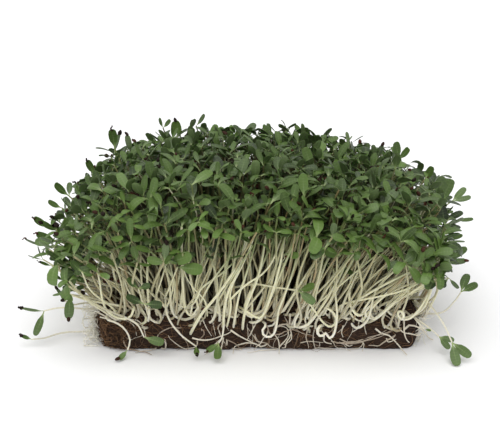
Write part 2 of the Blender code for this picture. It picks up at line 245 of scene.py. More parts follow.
@dataclass(frozen=True)
class LeafFinish:
    """Seed leaves: satin green, each with its own tone, paler below, with a light midrib and a painted
    highlight along the rim.
    """

    deep: tuple = srgb(22, 36, 15)
    fresh: tuple = srgb(94, 121, 54)
    below: tuple = srgb(98, 114, 76)
    # the midrib's and veins' colour, also used for the painted highlight along the rim
    rib_and_rim_highlight: tuple = srgb(132, 152, 100)
    foot: tuple = srgb(148, 162, 110)
    roughness: float = 0.36
    mottle_scale: float = 900
    broad_scale: float = 45
    relief: float = 0.00010
    glow: tuple = (0.0010, 0.0016, 0.0004)

    def material(self) -> Finish:
        """The material. Its UV map runs from the leaf's foot to its tip, and across it."""
        paint = Paint("seed_leaf")
        point = paint.place()
        spot = paint.node("ShaderNodeUVMap", {"uv_map": "blade"}, {})
        along = paint.axis(spot, "X")
        across = abs(paint.axis(spot, "Y") * 2 - 1)
        tone = paint.attribute("tone")
        under = paint.attribute("under")
        mottle = paint.noise(point, self.mottle_scale, 4)
        broad = paint.noise(point, self.broad_scale, 2)
        share = (tone * 0.62 + mottle * 0.28 + broad * 0.42 - 0.16).ramp(0, 1)
        colour = paint.blend(share, self.deep, self.fresh)
        colour = paint.blend(under * 0.62, colour, self.below)
        waves = paint.node("ShaderNodeTexWave", {}, {"Vector": spot, "Scale": 2.6, "Distortion": 2.0})
        side_veins = waves.ramp(0.78, 1.0) * across.ramp(0.1, 0.9, 1, 0) * 0.16
        midrib = across.ramp(0.02, 0.16, 1, 0) * along.ramp(0.2, 0.95, 0.75, 0.1)
        colour = paint.blend(midrib * 0.55 + side_veins, colour, self.rib_and_rim_highlight)
        colour = paint.blend(along.ramp(0.04, 0.34, 0.9, 0), colour, self.foot)
        # Painted highlight: the rim of each leaf is made lighter.
        colour = paint.blend(across.ramp(0.86, 1.0) * 0.22, colour, self.rib_and_rim_highlight)
        height = mottle * 0.6 - midrib * 0.5
        return paint.finish(
            base_color=colour,
            roughness=self.roughness + mottle * 0.14 + under * 0.12,
            normal=paint.bump(height, self.relief),
            subsurface_weight=0.12,
            subsurface_radius=self.glow,
            subsurface_scale=0.6,
            specular_ior_level=0.42,
        )


@dataclass(frozen=True)
class StemFinish:
    """Stems: moist cream at the foot, pale green higher up, with fine streaks, and painted shade that darkens
    the stems inside the block.
    """

    foot: tuple = srgb(246, 242, 228)
    middle: tuple = srgb(232, 230, 196)
    top: tuple = srgb(112, 130, 72)
    tan: tuple = srgb(158, 130, 92)
    dull: tuple = srgb(142, 138, 96)
    # painted shade: the dark colour that stems inside the block are blended towards
    painted_shade: tuple = srgb(58, 50, 32)
    foot_height: float = 0.014
    middle_height: float = 0.034
    top_height: float = 0.066
    # where the painted shade fades out towards the sides, from the middle along X and along Y
    shade_inside_x: tuple = (0.062, 0.074)
    shade_inside_y: tuple = (0.048, 0.057)
    streak_scale: float = 1500
    patch_scale: float = 130
    relief: float = 0.00005
    glow: tuple = (0.0014, 0.0012, 0.0006)

    def material(self) -> Finish:
        """The material, with its colour by the height above the surface."""
        paint = Paint("sprout_stem")
        point = paint.place()
        height = paint.axis(point, "Z")
        # Painted shade mask: 1 inside the block, away from its four sides, falling to 0 near them.
        along = abs(paint.axis(point, "X")).ramp(*self.shade_inside_x, 1, 0)
        painted_shade_mask = along * abs(paint.axis(point, "Y")).ramp(*self.shade_inside_y, 1, 0)
        tone = paint.attribute("tone")
        streak = paint.noise(paint.place((1, 1, 0.12)), self.streak_scale, 3)
        patch = paint.noise(point, self.patch_scale, 2)
        level = height + (tone - 0.5) * 0.016 + (patch - 0.5) * 0.012
        colour = paint.blend(level.ramp(self.foot_height, self.middle_height), self.foot, self.middle)
        colour = paint.blend(level.ramp(self.middle_height, self.top_height), colour, self.top)
        colour = paint.blend(tone.ramp(0.15, 0.82, 0.72, 0.0), colour, self.dull)
        colour = paint.blend(tone.ramp(0.92, 0.97) * 0.8, colour, self.middle)
        old = (1 - tone).ramp(0.70, 1.0) * patch.ramp(0.30, 0.65)
        colour = paint.blend(old * 0.7, colour, self.tan)
        colour = paint.blend(streak.ramp(0.35, 0.75, 0.0, 0.22), colour, self.tan)
        # Painted shade: stems inside the block are darkened, less so for the pale stems with the highest
        # tones.
        colour = paint.blend(painted_shade_mask * tone.ramp(0.92, 0.97, 0.8, 0.2), colour, self.painted_shade)
        return paint.finish(
            base_color=colour,
            roughness=0.36 + streak * 0.2,
            normal=paint.bump(streak, self.relief),
            subsurface_weight=0.2,
            subsurface_radius=self.glow,
            subsurface_scale=0.6,
        )


@dataclass(frozen=True)
class RootFinish:
    """Roots: cream to tan, dull and a little dirty where they touch the peat."""

    name: str = "root_skein"
    cream: tuple = srgb(222, 214, 196)
    tan: tuple = srgb(122, 94, 68)
    soil: tuple = srgb(70, 50, 38)
    patch_scale: float = 260
    grain_scale: float = 2600
    relief: float = 0.00006
    glow: tuple = (0.0012, 0.0010, 0.0006)

    def material(self) -> Finish:
        """The material, each root with its own tone."""
        paint = Paint(self.name)
        tone = paint.attribute("tone")
        patch = paint.noise(paint.place(), self.patch_scale, 3)
        grain = paint.noise(paint.place(), self.grain_scale, 2)
        colour = paint.blend((tone * 0.9 + patch * 0.6 - 0.25).ramp(0, 1), self.tan, self.cream)
        dirt = patch.ramp(0.56, 0.78) * 0.5 + (1 - tone).ramp(0.7, 1.0) * 0.5
        colour = paint.blend(dirt, colour, self.soil)
        return paint.finish(
            base_color=colour,
            roughness=0.5 + grain * 0.25,
            normal=paint.bump(grain, self.relief),
            subsurface_weight=0.1,
            subsurface_radius=self.glow,
            subsurface_scale=0.5,
        )


@dataclass(frozen=True)
class HullFinish:
    """Seed coats: near black to red-brown, dry and wrinkled."""

    black: tuple = srgb(34, 25, 20)
    brown: tuple = srgb(80, 48, 35)
    wrinkle_scale: float = 1700
    relief: float = 0.00016

    def material(self) -> Finish:
        """The material, each seed coat with its own tone."""
        paint = Paint("seed_coat")
        tone = paint.attribute("tone")
        wrinkle = paint.noise(paint.place(), self.wrinkle_scale, 4, 0.65)
        share = (tone + wrinkle * 0.5 - 0.25).ramp(0.05, 0.95)
        return paint.finish(
            base_color=paint.blend(share, self.black, self.brown),
            roughness=0.5 + wrinkle * 0.35,
            normal=paint.bump(wrinkle, self.relief),
            specular_ior_level=0.12,
        )


@dataclass(frozen=True)
class PeatFinish:
    """The growing medium: dark fibrous peat, with paler crumbs and matted root hairs."""

    dark: tuple = srgb(30, 21, 17)
    brown: tuple = srgb(60, 42, 32)
    fibre: tuple = srgb(118, 92, 68)
    lump_scale: float = 120
    crumb_scale: float = 900
    fibre_scale: float = 2300
    relief: float = 0.0012

    def material(self) -> Finish:
        """The material: lumps, crumbs and short fibres that run along the faces."""
        paint = Paint("peat")
        lumps = paint.noise(paint.place(), self.lump_scale, 4)
        crumbs = paint.noise(paint.place(), self.crumb_scale, 4, 0.7)
        fibres = paint.noise(paint.place((0.18, 0.18, 1.0)), self.fibre_scale, 3, 0.6)
        colour = paint.blend((lumps * 0.8 + crumbs * 0.5 - 0.15).ramp(0.2, 0.85), self.dark, self.brown)
        colour = paint.blend(fibres.ramp(0.56, 0.72) * 0.6, colour, self.fibre)
        height = lumps * 0.5 + crumbs * 0.35 + fibres * 0.25
        return paint.finish(
            base_color=colour,
            roughness=0.82 + crumbs * 0.16,
            normal=paint.bump(height, self.relief),
            specular_ior_level=0.25,
        )


@dataclass(frozen=True)
class FibreFinish:
    """Loose peat fibres: dark brown to straw."""

    dark: tuple = srgb(48, 33, 24)
    straw: tuple = srgb(132, 100, 70)
    grain_scale: float = 1800

    def material(self) -> Finish:
        """The material, each fibre with its own tone."""
        paint = Paint("peat_fibre")
        tone = paint.attribute("tone")
        grain = paint.noise(paint.place(), self.grain_scale, 2)
        colour = paint.blend((tone * tone + grain * 0.3 - 0.1).ramp(0, 1), self.dark, self.straw)
        return paint.finish(base_color=colour, roughness=0.65 + grain * 0.2, specular_ior_level=0.3)


@dataclass(frozen=True)
class FloorFinish:
    """A plain pale floor."""

    colour: tuple = srgb(250, 250, 251)

    def material(self) -> Finish:
        """The material, almost white and dull."""
        paint = Paint("pale_floor")
        return paint.finish(base_color=self.colour, roughness=0.9, specular_ior_level=0.1)


class Bench:
    """What is done by hand to one object at a time."""

    @staticmethod
    def take(obj: Thing) -> None:
        """Makes an object the only one that is selected, and the active one.

        Args:
            obj: The object.
        """
        bpy.ops.object.select_all(action="DESELECT")
        obj.select_set(True)
        bpy.context.view_layer.objects.active = obj

    @staticmethod
    def edit(obj: Thing, chosen: Iterable[int], work: Callable[[], None]) -> None:
        """Selects some of a mesh's points in edit mode, and works on them.

        Args:
            obj: The object.
            chosen: The indices of the points.
            work: What is done while they are selected.
        """
        Bench.take(obj)
        mesh = obj.data
        wanted = np.zeros(len(mesh.vertices), bool)
        wanted[list(chosen)] = True
        for part, picked in ((mesh.polygons, None), (mesh.edges, None), (mesh.vertices, wanted)):
            part.foreach_set("select", np.zeros(len(part), bool) if picked is None else picked)
        bpy.ops.object.mode_set(mode="EDIT")
        bpy.ops.mesh.select_mode(type="VERT")
        work()
        bpy.ops.object.mode_set(mode="OBJECT")

    @staticmethod
    def coordinates(obj: Thing) -> np.ndarray:
        """The mesh's points.

        Args:
            obj: The object.

        Returns:
            An array with a point in each row.
        """
        flat = np.empty(len(obj.data.vertices) * 3, np.float32)
        obj.data.vertices.foreach_get("co", flat)
        return flat.reshape(-1, 3)

    @staticmethod
    def settle(obj: Thing) -> None:
        """Moves the object's place and turn into its mesh."""
        Bench.take(obj)
        bpy.ops.object.transform_apply(location=True, rotation=True, scale=True)

    @staticmethod
    def drop_maps(obj: Thing) -> None:
        """Removes the UV maps that a primitive brings with it."""
        for old in list(obj.data.uv_layers):
            obj.data.uv_layers.remove(old)

    @staticmethod
    def modify(obj: Thing, kind: str, settings: dict) -> None:
        """Adds a modifier and applies it.

        Args:
            obj: The object.
            kind: The modifier's type.
            settings: Its settings.
        """
        Bench.take(obj)
        made = obj.modifiers.new(kind.lower(), kind)
        for key, value in settings.items():
            setattr(made, key, value)
        bpy.ops.object.modifier_apply(modifier=made.name)

    @staticmethod
    def copy(obj: Thing, name: str) -> Thing:
        """A copy of an object with its own mesh.

        Args:
            obj: The object.
            name: The copy's name.

        Returns:
            The copy.
        """
        made = obj.copy()
        made.data = obj.data.copy()
        made.name = name
        bpy.context.scene.collection.objects.link(made)
        return made


class Heap:
    """Copies of a few patterns, gathered and then joined into one piece."""

    ASIDE = (0.31, 0.95, 0.05)

    def __init__(self, name: str) -> None:
        """Starts an empty heap."""
        self.name = name
        self.members: list[Thing] = []

    def _keep(self, mesh: bpy.types.Mesh, tone: float) -> None:
        """Adds a copy's mesh.

        Args:
            mesh: The mesh.
            tone: The copy's own tone, from 0 to 1.
        """
        mesh.attributes["tone"].data.foreach_set("value", np.full(len(mesh.vertices), tone, np.float32))
        member = bpy.data.objects.new(self.name + "_part", mesh)
        bpy.context.scene.collection.objects.link(member)
        self.members.append(member)

    def add(self, pattern: Thing, matrix: Matrix, tone: float) -> None:
        """Adds a copy of a pattern.

        Args:
            pattern: What is copied.
            matrix: Where the copy goes.
            tone: The copy's own tone, from 0 to 1.
        """
        mesh = pattern.data.copy()
        mesh.transform(matrix)
        self._keep(mesh, tone)

    def add_tube(self, pattern: Thing, route: Sequence[Vector], radii: Sequence[float],
                 tone: float) -> None:
        """Adds a copy of a straight tube, laid along a route.

        Args:
            pattern: The tube, of radius 1, with a ring of points at each whole height.
            route: A point for each ring.
            radii: The radius at each ring.
            tone: The copy's own tone, from 0 to 1.
        """
        points = np.array([tuple(p) for p in route])
        ways = np.gradient(points, axis=0)
        ways /= np.linalg.norm(ways, axis=1, keepdims=True)
        side = np.cross(ways[0], self.ASIDE)
        sides = []
        for way in ways:
            side = side - way * side.dot(way)
            side /= np.linalg.norm(side)
            sides.append(side)
        sides = np.array(sides)
        others = np.cross(ways, sides)
        flat = Bench.coordinates(pattern)
        ring = np.rint(flat[:, 2]).astype(int)
        radius = np.array(radii)[ring, None]
        placed = points[ring] + (sides[ring] * flat[:, :1] + others[ring] * flat[:, 1:2]) * radius
        mesh = pattern.data.copy()
        mesh.vertices.foreach_set("co", placed.astype(np.float32).ravel())
        self._keep(mesh, tone)

    def join(self, material: Finish) -> Thing:
        """Joins the copies into one piece.

        Args:
            material: The piece's material.

        Returns:
            The piece.
        """
        Bench.take(self.members[0])
        for member in self.members:
            member.select_set(True)
        bpy.ops.object.join()
        piece = bpy.context.view_layer.objects.active
        piece.name = self.name
        piece.data.materials.clear()
        piece.data.materials.append(material)
        piece.data.update()
        return piece


class Tube(Enum):
    """The straight tubes that are laid along routes: how many sides and rings of points each has."""

    STEM = (5, 14)
    HOOK = (5, 18)
    CURL = (5, 34)
    ROOT = (4, 13)
    FIBRE = (3, 8)

    @property
    def rings(self) -> int:
        """How many rings of points the tube has."""
        return self.value[1]


@dataclass
class Patterns:
    """The shapes that repeat, each modelled once: leaves, tubes and seed coats."""

    leaf_length: float = 0.0106
    leaf_half_width: float = 0.00215
    leaf_half_thickness: float = 0.00019
    leaf_outline: tuple = (0.13, 0.17, 0.42, 0.84, 1.0, 0.97, 0.80, 0.47)
    leaf_stations: tuple = (0.02, 0.13, 0.24, 0.39, 0.57, 0.75, 0.90, 0.975)
    leaf_fold: float = 0.00022
    fold_from: float = 0.3
    fold_to: float = 0.97
    leaf_bends: tuple = ((-4, 0), (-7, 8), (-11, -10), (-15, 4), (-2, 18), (3, -6), (-9, -24), (-20, 12))
    map_width: float = 2.2
    hull_length: float = 0.0031
    hull_half_width: float = 0.00105
    hull_flatness: float = 0.8
    hull_outline: tuple = (0.62, 0.96, 1.0, 0.72, 0.34)
    hull_stations: tuple = (0.10, 0.28, 0.52, 0.76, 0.92)
    thinnest: float = 0.35
    leaves: list = field(default_factory=list)
    hulls: list = field(default_factory=list)
    tubes: dict = field(default_factory=dict)

    def _dress(self, obj: Thing) -> None:
        """Gives a pattern its tone and smooth faces.

        Args:
            obj: The pattern.
        """
        obj.data.attributes.new("tone", "FLOAT", "POINT")
        Bench.take(obj)
        bpy.ops.object.shade_smooth_by_angle(angle=SMOOTH_BELOW)
        obj.hide_render = True

    def _turned(self, name: str, segments: int, stations: Sequence[float], widths: Sequence[float],
                length: float, half_width: float, half_height: float) -> Thing:
        """A closed form along +X, from a sphere whose rings are moved and resized one by one.

        Args:
            name: The object's name.
            segments: How many sides it has.
            stations: Where each ring goes along the length, from 0 to 1.
            widths: The share of the full width at each ring.
            length: The length in metres.
            half_width: Half the width in metres.
            half_height: Half the height in metres.

        Returns:
            The object, with its foot at the origin.
        """
        rings = len(stations)
        bpy.ops.mesh.primitive_uv_sphere_add(
            segments=segments, ring_count=rings + 1, radius=1, rotation=(math.pi / 2, 0, math.pi / 2)
        )
        made = bpy.context.object
        made.name = name
        Bench.settle(made)
        flat = Bench.coordinates(made)
        order = np.round(flat[:, 0], 4)
        levels = [float(flat[order == level, 0].mean()) for level in sorted(set(order))]
        half_wide = max(abs(flat[:, 1]))
        targets = [0.0, *[s * length for s in stations], length]
        shares = [1.0, *widths, 1.0]
        for level, target, share in zip(levels, targets, shares):
            chosen = np.flatnonzero(abs(flat[:, 0] - level) < 1e-4)
            ring_radius = max(math.sqrt(max(1 - level * level, 0)), NEAR / 10)
            wide = half_width * share / (ring_radius * half_wide)
            high = half_height * (self.thinnest + (1 - self.thinnest) * share) / ring_radius

            def shape() -> None:
                """Moves and resizes one ring."""
                if len(chosen) > 1:
                    bpy.ops.transform.resize(value=(1, wide, high), center_override=(level, 0, 0))
                bpy.ops.transform.translate(value=(target - level, 0, 0))

            Bench.edit(made, chosen, shape)
        return made

    def build_leaves(self) -> None:
        """One flat seed leaf, and from it several that arch and twist by different amounts."""
        flat_leaf = self._turned(
            "leaf_pattern", 6, self.leaf_stations, self.leaf_outline,
            self.leaf_length, self.leaf_half_width, self.leaf_half_thickness,
        )
        where = Bench.coordinates(flat_leaf)
        along = where[:, 0] / self.leaf_length
        folded = (abs(where[:, 1]) < NEAR) & (along > self.fold_from) & (along < self.fold_to)
        middle = np.flatnonzero(folded)
        Bench.edit(flat_leaf, middle, lambda: bpy.ops.transform.translate(value=(0, 0, -self.leaf_fold)))
        mesh = flat_leaf.data
        under = (where[:, 2] < -self.leaf_half_thickness * 0.2).astype(np.float32)
        mesh.attributes.new("under", "FLOAT", "POINT").data.foreach_set("value", under)
        Bench.drop_maps(flat_leaf)
        self._map_blade(mesh, where)
        self._dress(flat_leaf)
        stations = [0.0, *[s * self.leaf_length for s in self.leaf_stations], self.leaf_length]
        for number, (arch, twist) in enumerate(self.leaf_bends):
            made = Bench.copy(flat_leaf, f"leaf_pattern_{number}")
            self._bend(made, where, stations, arch, twist)
            self.leaves.append(made)
        bpy.data.objects.remove(flat_leaf)

    def _map_blade(self, mesh: bpy.types.Mesh, where: np.ndarray) -> None:
        """Writes the UV map: along the leaf, and across it.

        Args:
            mesh: The leaf's mesh.
            where: Its points, while it is still flat.
        """
        layer = mesh.uv_layers.new(name="blade")
        corner = np.empty(len(mesh.loops), np.int32)
        mesh.loops.foreach_get("vertex_index", corner)
        along = where[corner, 0] / self.leaf_length
        across = where[corner, 1] / (self.map_width * self.leaf_half_width) + 0.5
        layer.data.foreach_set("uv", np.column_stack((along, across)).astype(np.float32).ravel())

    def _bend(self, leaf: Thing, where: np.ndarray, stations: Sequence[float],
              arch: float, twist: float) -> None:
        """Arches and twists a leaf, ring after ring from its foot.

        Args:
            leaf: The leaf, still flat.
            where: Its points.
            stations: Where its rings are.
            arch: The turn at each ring, in degrees, down if negative.
            twist: The twist from foot to tip, in degrees.
        """
        for station in stations[2:-2]:
            beyond = np.flatnonzero(where[:, 0] > station - NEAR / 10)
            ring = beyond[abs(where[beyond, 0] - station) < NEAR]
            centre = Vector(Bench.coordinates(leaf)[ring].mean(axis=0).tolist())

            def turn() -> None:
                """Turns all that lies beyond the ring."""
                for axis, angle in (("Y", arch), ("X", twist / 6)):
                    bpy.ops.transform.rotate(
                        value=math.radians(angle), orient_axis=axis, orient_type="GLOBAL",
                        center_override=centre,
                    )

            Bench.edit(leaf, beyond, turn)

    def build_tube(self, kind: Tube) -> Thing:
        """A straight closed tube of radius 1 with a ring of points at each whole height.

        Args:
            kind: Which tube it is.

        Returns:
            The tube.
        """
        sides, rings = kind.value
        height = rings - 1
        middle = (0, 0, height / 2)
        bpy.ops.mesh.primitive_cylinder_add(vertices=sides, radius=1, depth=height, location=middle)
        tube = bpy.context.object
        tube.name = kind.name.lower() + "_pattern"
        Bench.settle(tube)
        for level in range(1, height):
            every = range(len(tube.data.vertices))
            Bench.edit(tube, every, lambda: bpy.ops.mesh.bisect(plane_co=(0, 0, level), plane_no=(0, 0, 1)))
        Bench.drop_maps(tube)
        self._dress(tube)
        return tube

    def build_hulls(self) -> None:
        """A whole seed coat, and one that has split and curled."""
        whole = self._turned(
            "hull_pattern_0", 7, self.hull_stations, self.hull_outline,
            self.hull_length, self.hull_half_width, self.hull_half_width * self.hull_flatness,
        )
        Bench.drop_maps(whole)
        self._dress(whole)
        split = Bench.copy(whole, "hull_pattern_1")
        where = Bench.coordinates(split)
        top = np.flatnonzero((where[:, 2] > 0.0001) & (where[:, 0] > 0.0004))
        Bench.edit(split, top, lambda: bpy.ops.transform.translate(value=(0.0002, 0, -0.0009)))
        tail = np.flatnonzero(where[:, 0] > 0.0017)
        Bench.edit(split, tail, lambda: bpy.ops.transform.translate(value=(-0.0003, 0.0003, 0.0007)))
        self.hulls = [whole, split]

    def build(self) -> None:
        """Makes all the patterns."""
        self.build_leaves()
        self.build_hulls()
        for kind in Tube:
            self.tubes[kind] = self.build_tube(kind)

    def clear(self) -> None:
        """Removes the patterns when all their copies are made."""
        for pattern in [*self.leaves, *self.hulls, *self.tubes.values()]:
            bpy.data.objects.remove(pattern)


def smooth_route(points: Sequence[Vector], count: int, crowding: float = 1.0) -> list[Vector]:
    """Points on a smooth curve through some others.

    Args:
        points: The points that it runs through.
        count: How many points are wanted.
        crowding: 1 for even steps, and more for steps that are shorter near the start.

    Returns:
        The points of the curve.
    """
    ends = [points[0] * 2 - points[1], *points, points[-1] * 2 - points[-2]]
    dense = []
    for before, start, end, after in zip(ends, ends[1:], ends[2:], ends[3:]):
        for step in range(8):
            t = step / 8
            dense.append(
                0.5 * ((2 * start) + (end - before) * t + (2 * before - 5 * start + 4 * end - after) * t**2
                       + (3 * start - before - 3 * end + after) * t**3)
            )
    dense.append(points[-1].copy())
    table = np.array([tuple(p) for p in dense])
    run = np.concatenate(([0.0], np.cumsum(np.linalg.norm(np.diff(table, axis=0), axis=1))))
    wanted = np.linspace(0, 1, count) ** crowding * run[-1]
    return [Vector([np.interp(w, run, table[:, k]) for k in range(3)]) for w in wanted]


class Crowd:
    """Keeps note of what stands where, so that leaves find a free place."""

    def __init__(self, cell: float = 0.003) -> None:
        """Starts with nothing standing."""
        self.cell = cell
        self.cells: dict[tuple[int, int, int], list[tuple[Vector, float]]] = {}

    def _key(self, point: Vector) -> tuple[int, int, int]:
        """The cell that a point is in."""
        return tuple(math.floor(c / self.cell) for c in point)

    def add(self, point: Vector, radius: float) -> None:
        """Notes a ball of space as taken."""
        self.cells.setdefault(self._key(point), []).append((point, radius))

    def crush(self, point: Vector, radius: float) -> float:
        """How deep a ball would sit in those that are there.

        Args:
            point: Its middle.
            radius: Its radius.

        Returns:
            The sum of the depths.
        """
        i, j, k = self._key(point)
        total = 0.0
        for a in (i - 1, i, i + 1):
            for b in (j - 1, j, j + 1):
                for c in (k - 1, k, k + 1):
                    for other, size in self.cells.get((a, b, c), ()):
                        total += max(0.0, radius + size - (other - point).length)
        return total


class Side(Enum):
    """A side of the slab."""

    FRONT = "front"
    BACK = "back"
    LEFT = "left"
    RIGHT = "right"


@dataclass
class Sprout:
    """One sprout: the route of its stem, and the place of each leaf."""

    route: list
    radius: float
    tone: float
    leaves: list
    row: int
    tube: Tube = Tube.STEM
    capped: bool = False


@dataclass(frozen=True)
class Dome:
    """The top of the leaves over the plan, which falls off sooner to the right than to the left."""

    height: float = 0.0885
    left: tuple = (0.1125, 3.2)
    right: tuple = (0.150, 1.6)
    deep: tuple = (0.092, 4.0)
    fullness: float = 0.7


@dataclass(frozen=True)
class LeafHabit:
    """How a pair of seed leaves grows: how far it opens, its size, and its tone from 0 to 1, with painted
    light at the front and painted shade deep down.
    """

    follow_stem: float = 0.6
    follow_light: float = 0.5
    jitter: float = 0.28
    least_size: float = 0.56
    size_range: float = 0.60
    size_bias: float = 1.25
    # painted light: leaves in front of this line across the slab get a lighter tone
    painted_light_front: float = -0.042
    painted_light_run: float = 0.025
    painted_light_gain: float = 0.24
    # painted shade: leaves that sit deeper below the top of the leaves get a darker tone
    painted_shade_depth: float = 0.006
    painted_shade_gain: float = 24
    painted_shade_most: float = 0.34
    tone: tuple = (0.47, 0.24)
    own_tone: float = 0.06
    open_rise: tuple = (8, 58)
    closed_rise: float = 78
    most_closed: float = 0.8
    tilt: float = 0.22
    length_share: tuple = (0.93, 1.05)
    width_share: tuple = (0.82, 1.12)
    ball: float = 0.0012
    ball_places: tuple = (0.42, 0.68, 0.92)
    lowest: float = 0.0025
    highest: float = 0.0912
    outside_cost: float = 40


@dataclass(frozen=True)
class TopHabit:
    """How the sprouts stand on top of the slab, and how their stems bend."""

    margin: float = 0.0025
    spacing: float = 0.0029
    cell: tuple = (0.1, 0.9)
    thin_beyond: float = 0.42
    thinned: float = 0.45
    sunk: float = 0.0012
    thickness: tuple = (0.8, 1.15)
    wander: float = 0.0038
    low_place: float = 0.14
    low_rise: float = 0.32
    low_lift: float = 0.001
    high_place: float = 0.55
    high_rise: float = 0.68
    wave: float = 0.0025
    back_wave: tuple = (0.2, 1.1)
    drop_least: float = 0.0030
    drop_mean: float = 0.0085
    drop_most: float = 0.034
    proud: float = 0.0055
    proud_share: float = 0.04


@dataclass(frozen=True)
class SideHabit:
    """How the sprouts leave the slab's sides. Pairs are for the long sides and for the ends."""

    counts: tuple = ((Side.FRONT, 130), (Side.BACK, 116), (Side.LEFT, 80), (Side.RIGHT, 74))
    feet: tuple = (0.0172, 0.0222)
    low_feet: tuple = (0.0110, 0.0172)
    feet_share: float = 0.84
    sunk: float = 0.0012
    bulge: tuple = (0.0016, 0.0050)
    dips: tuple = (-0.0012, 0.0002, 0.0010, 0.0018, 0.0028)
    sway: float = 0.0058
    hook: float = 0.0028
    knee_lift: float = 0.0045
    levels: tuple = ((0.049, 0.067), (0.041, 0.060))
    reaches: tuple = ((0.005, 0.017), (0.012, 0.030))
    fan: tuple = (0.006, 0.024)
    belly: tuple = (0.0012, 0.0015)
    stray: float = 0.0026
    under_dome: float = 0.003
    lowest: float = 0.036
    thickness: tuple = (0.85, 1.45)
    margin: float = 0.006


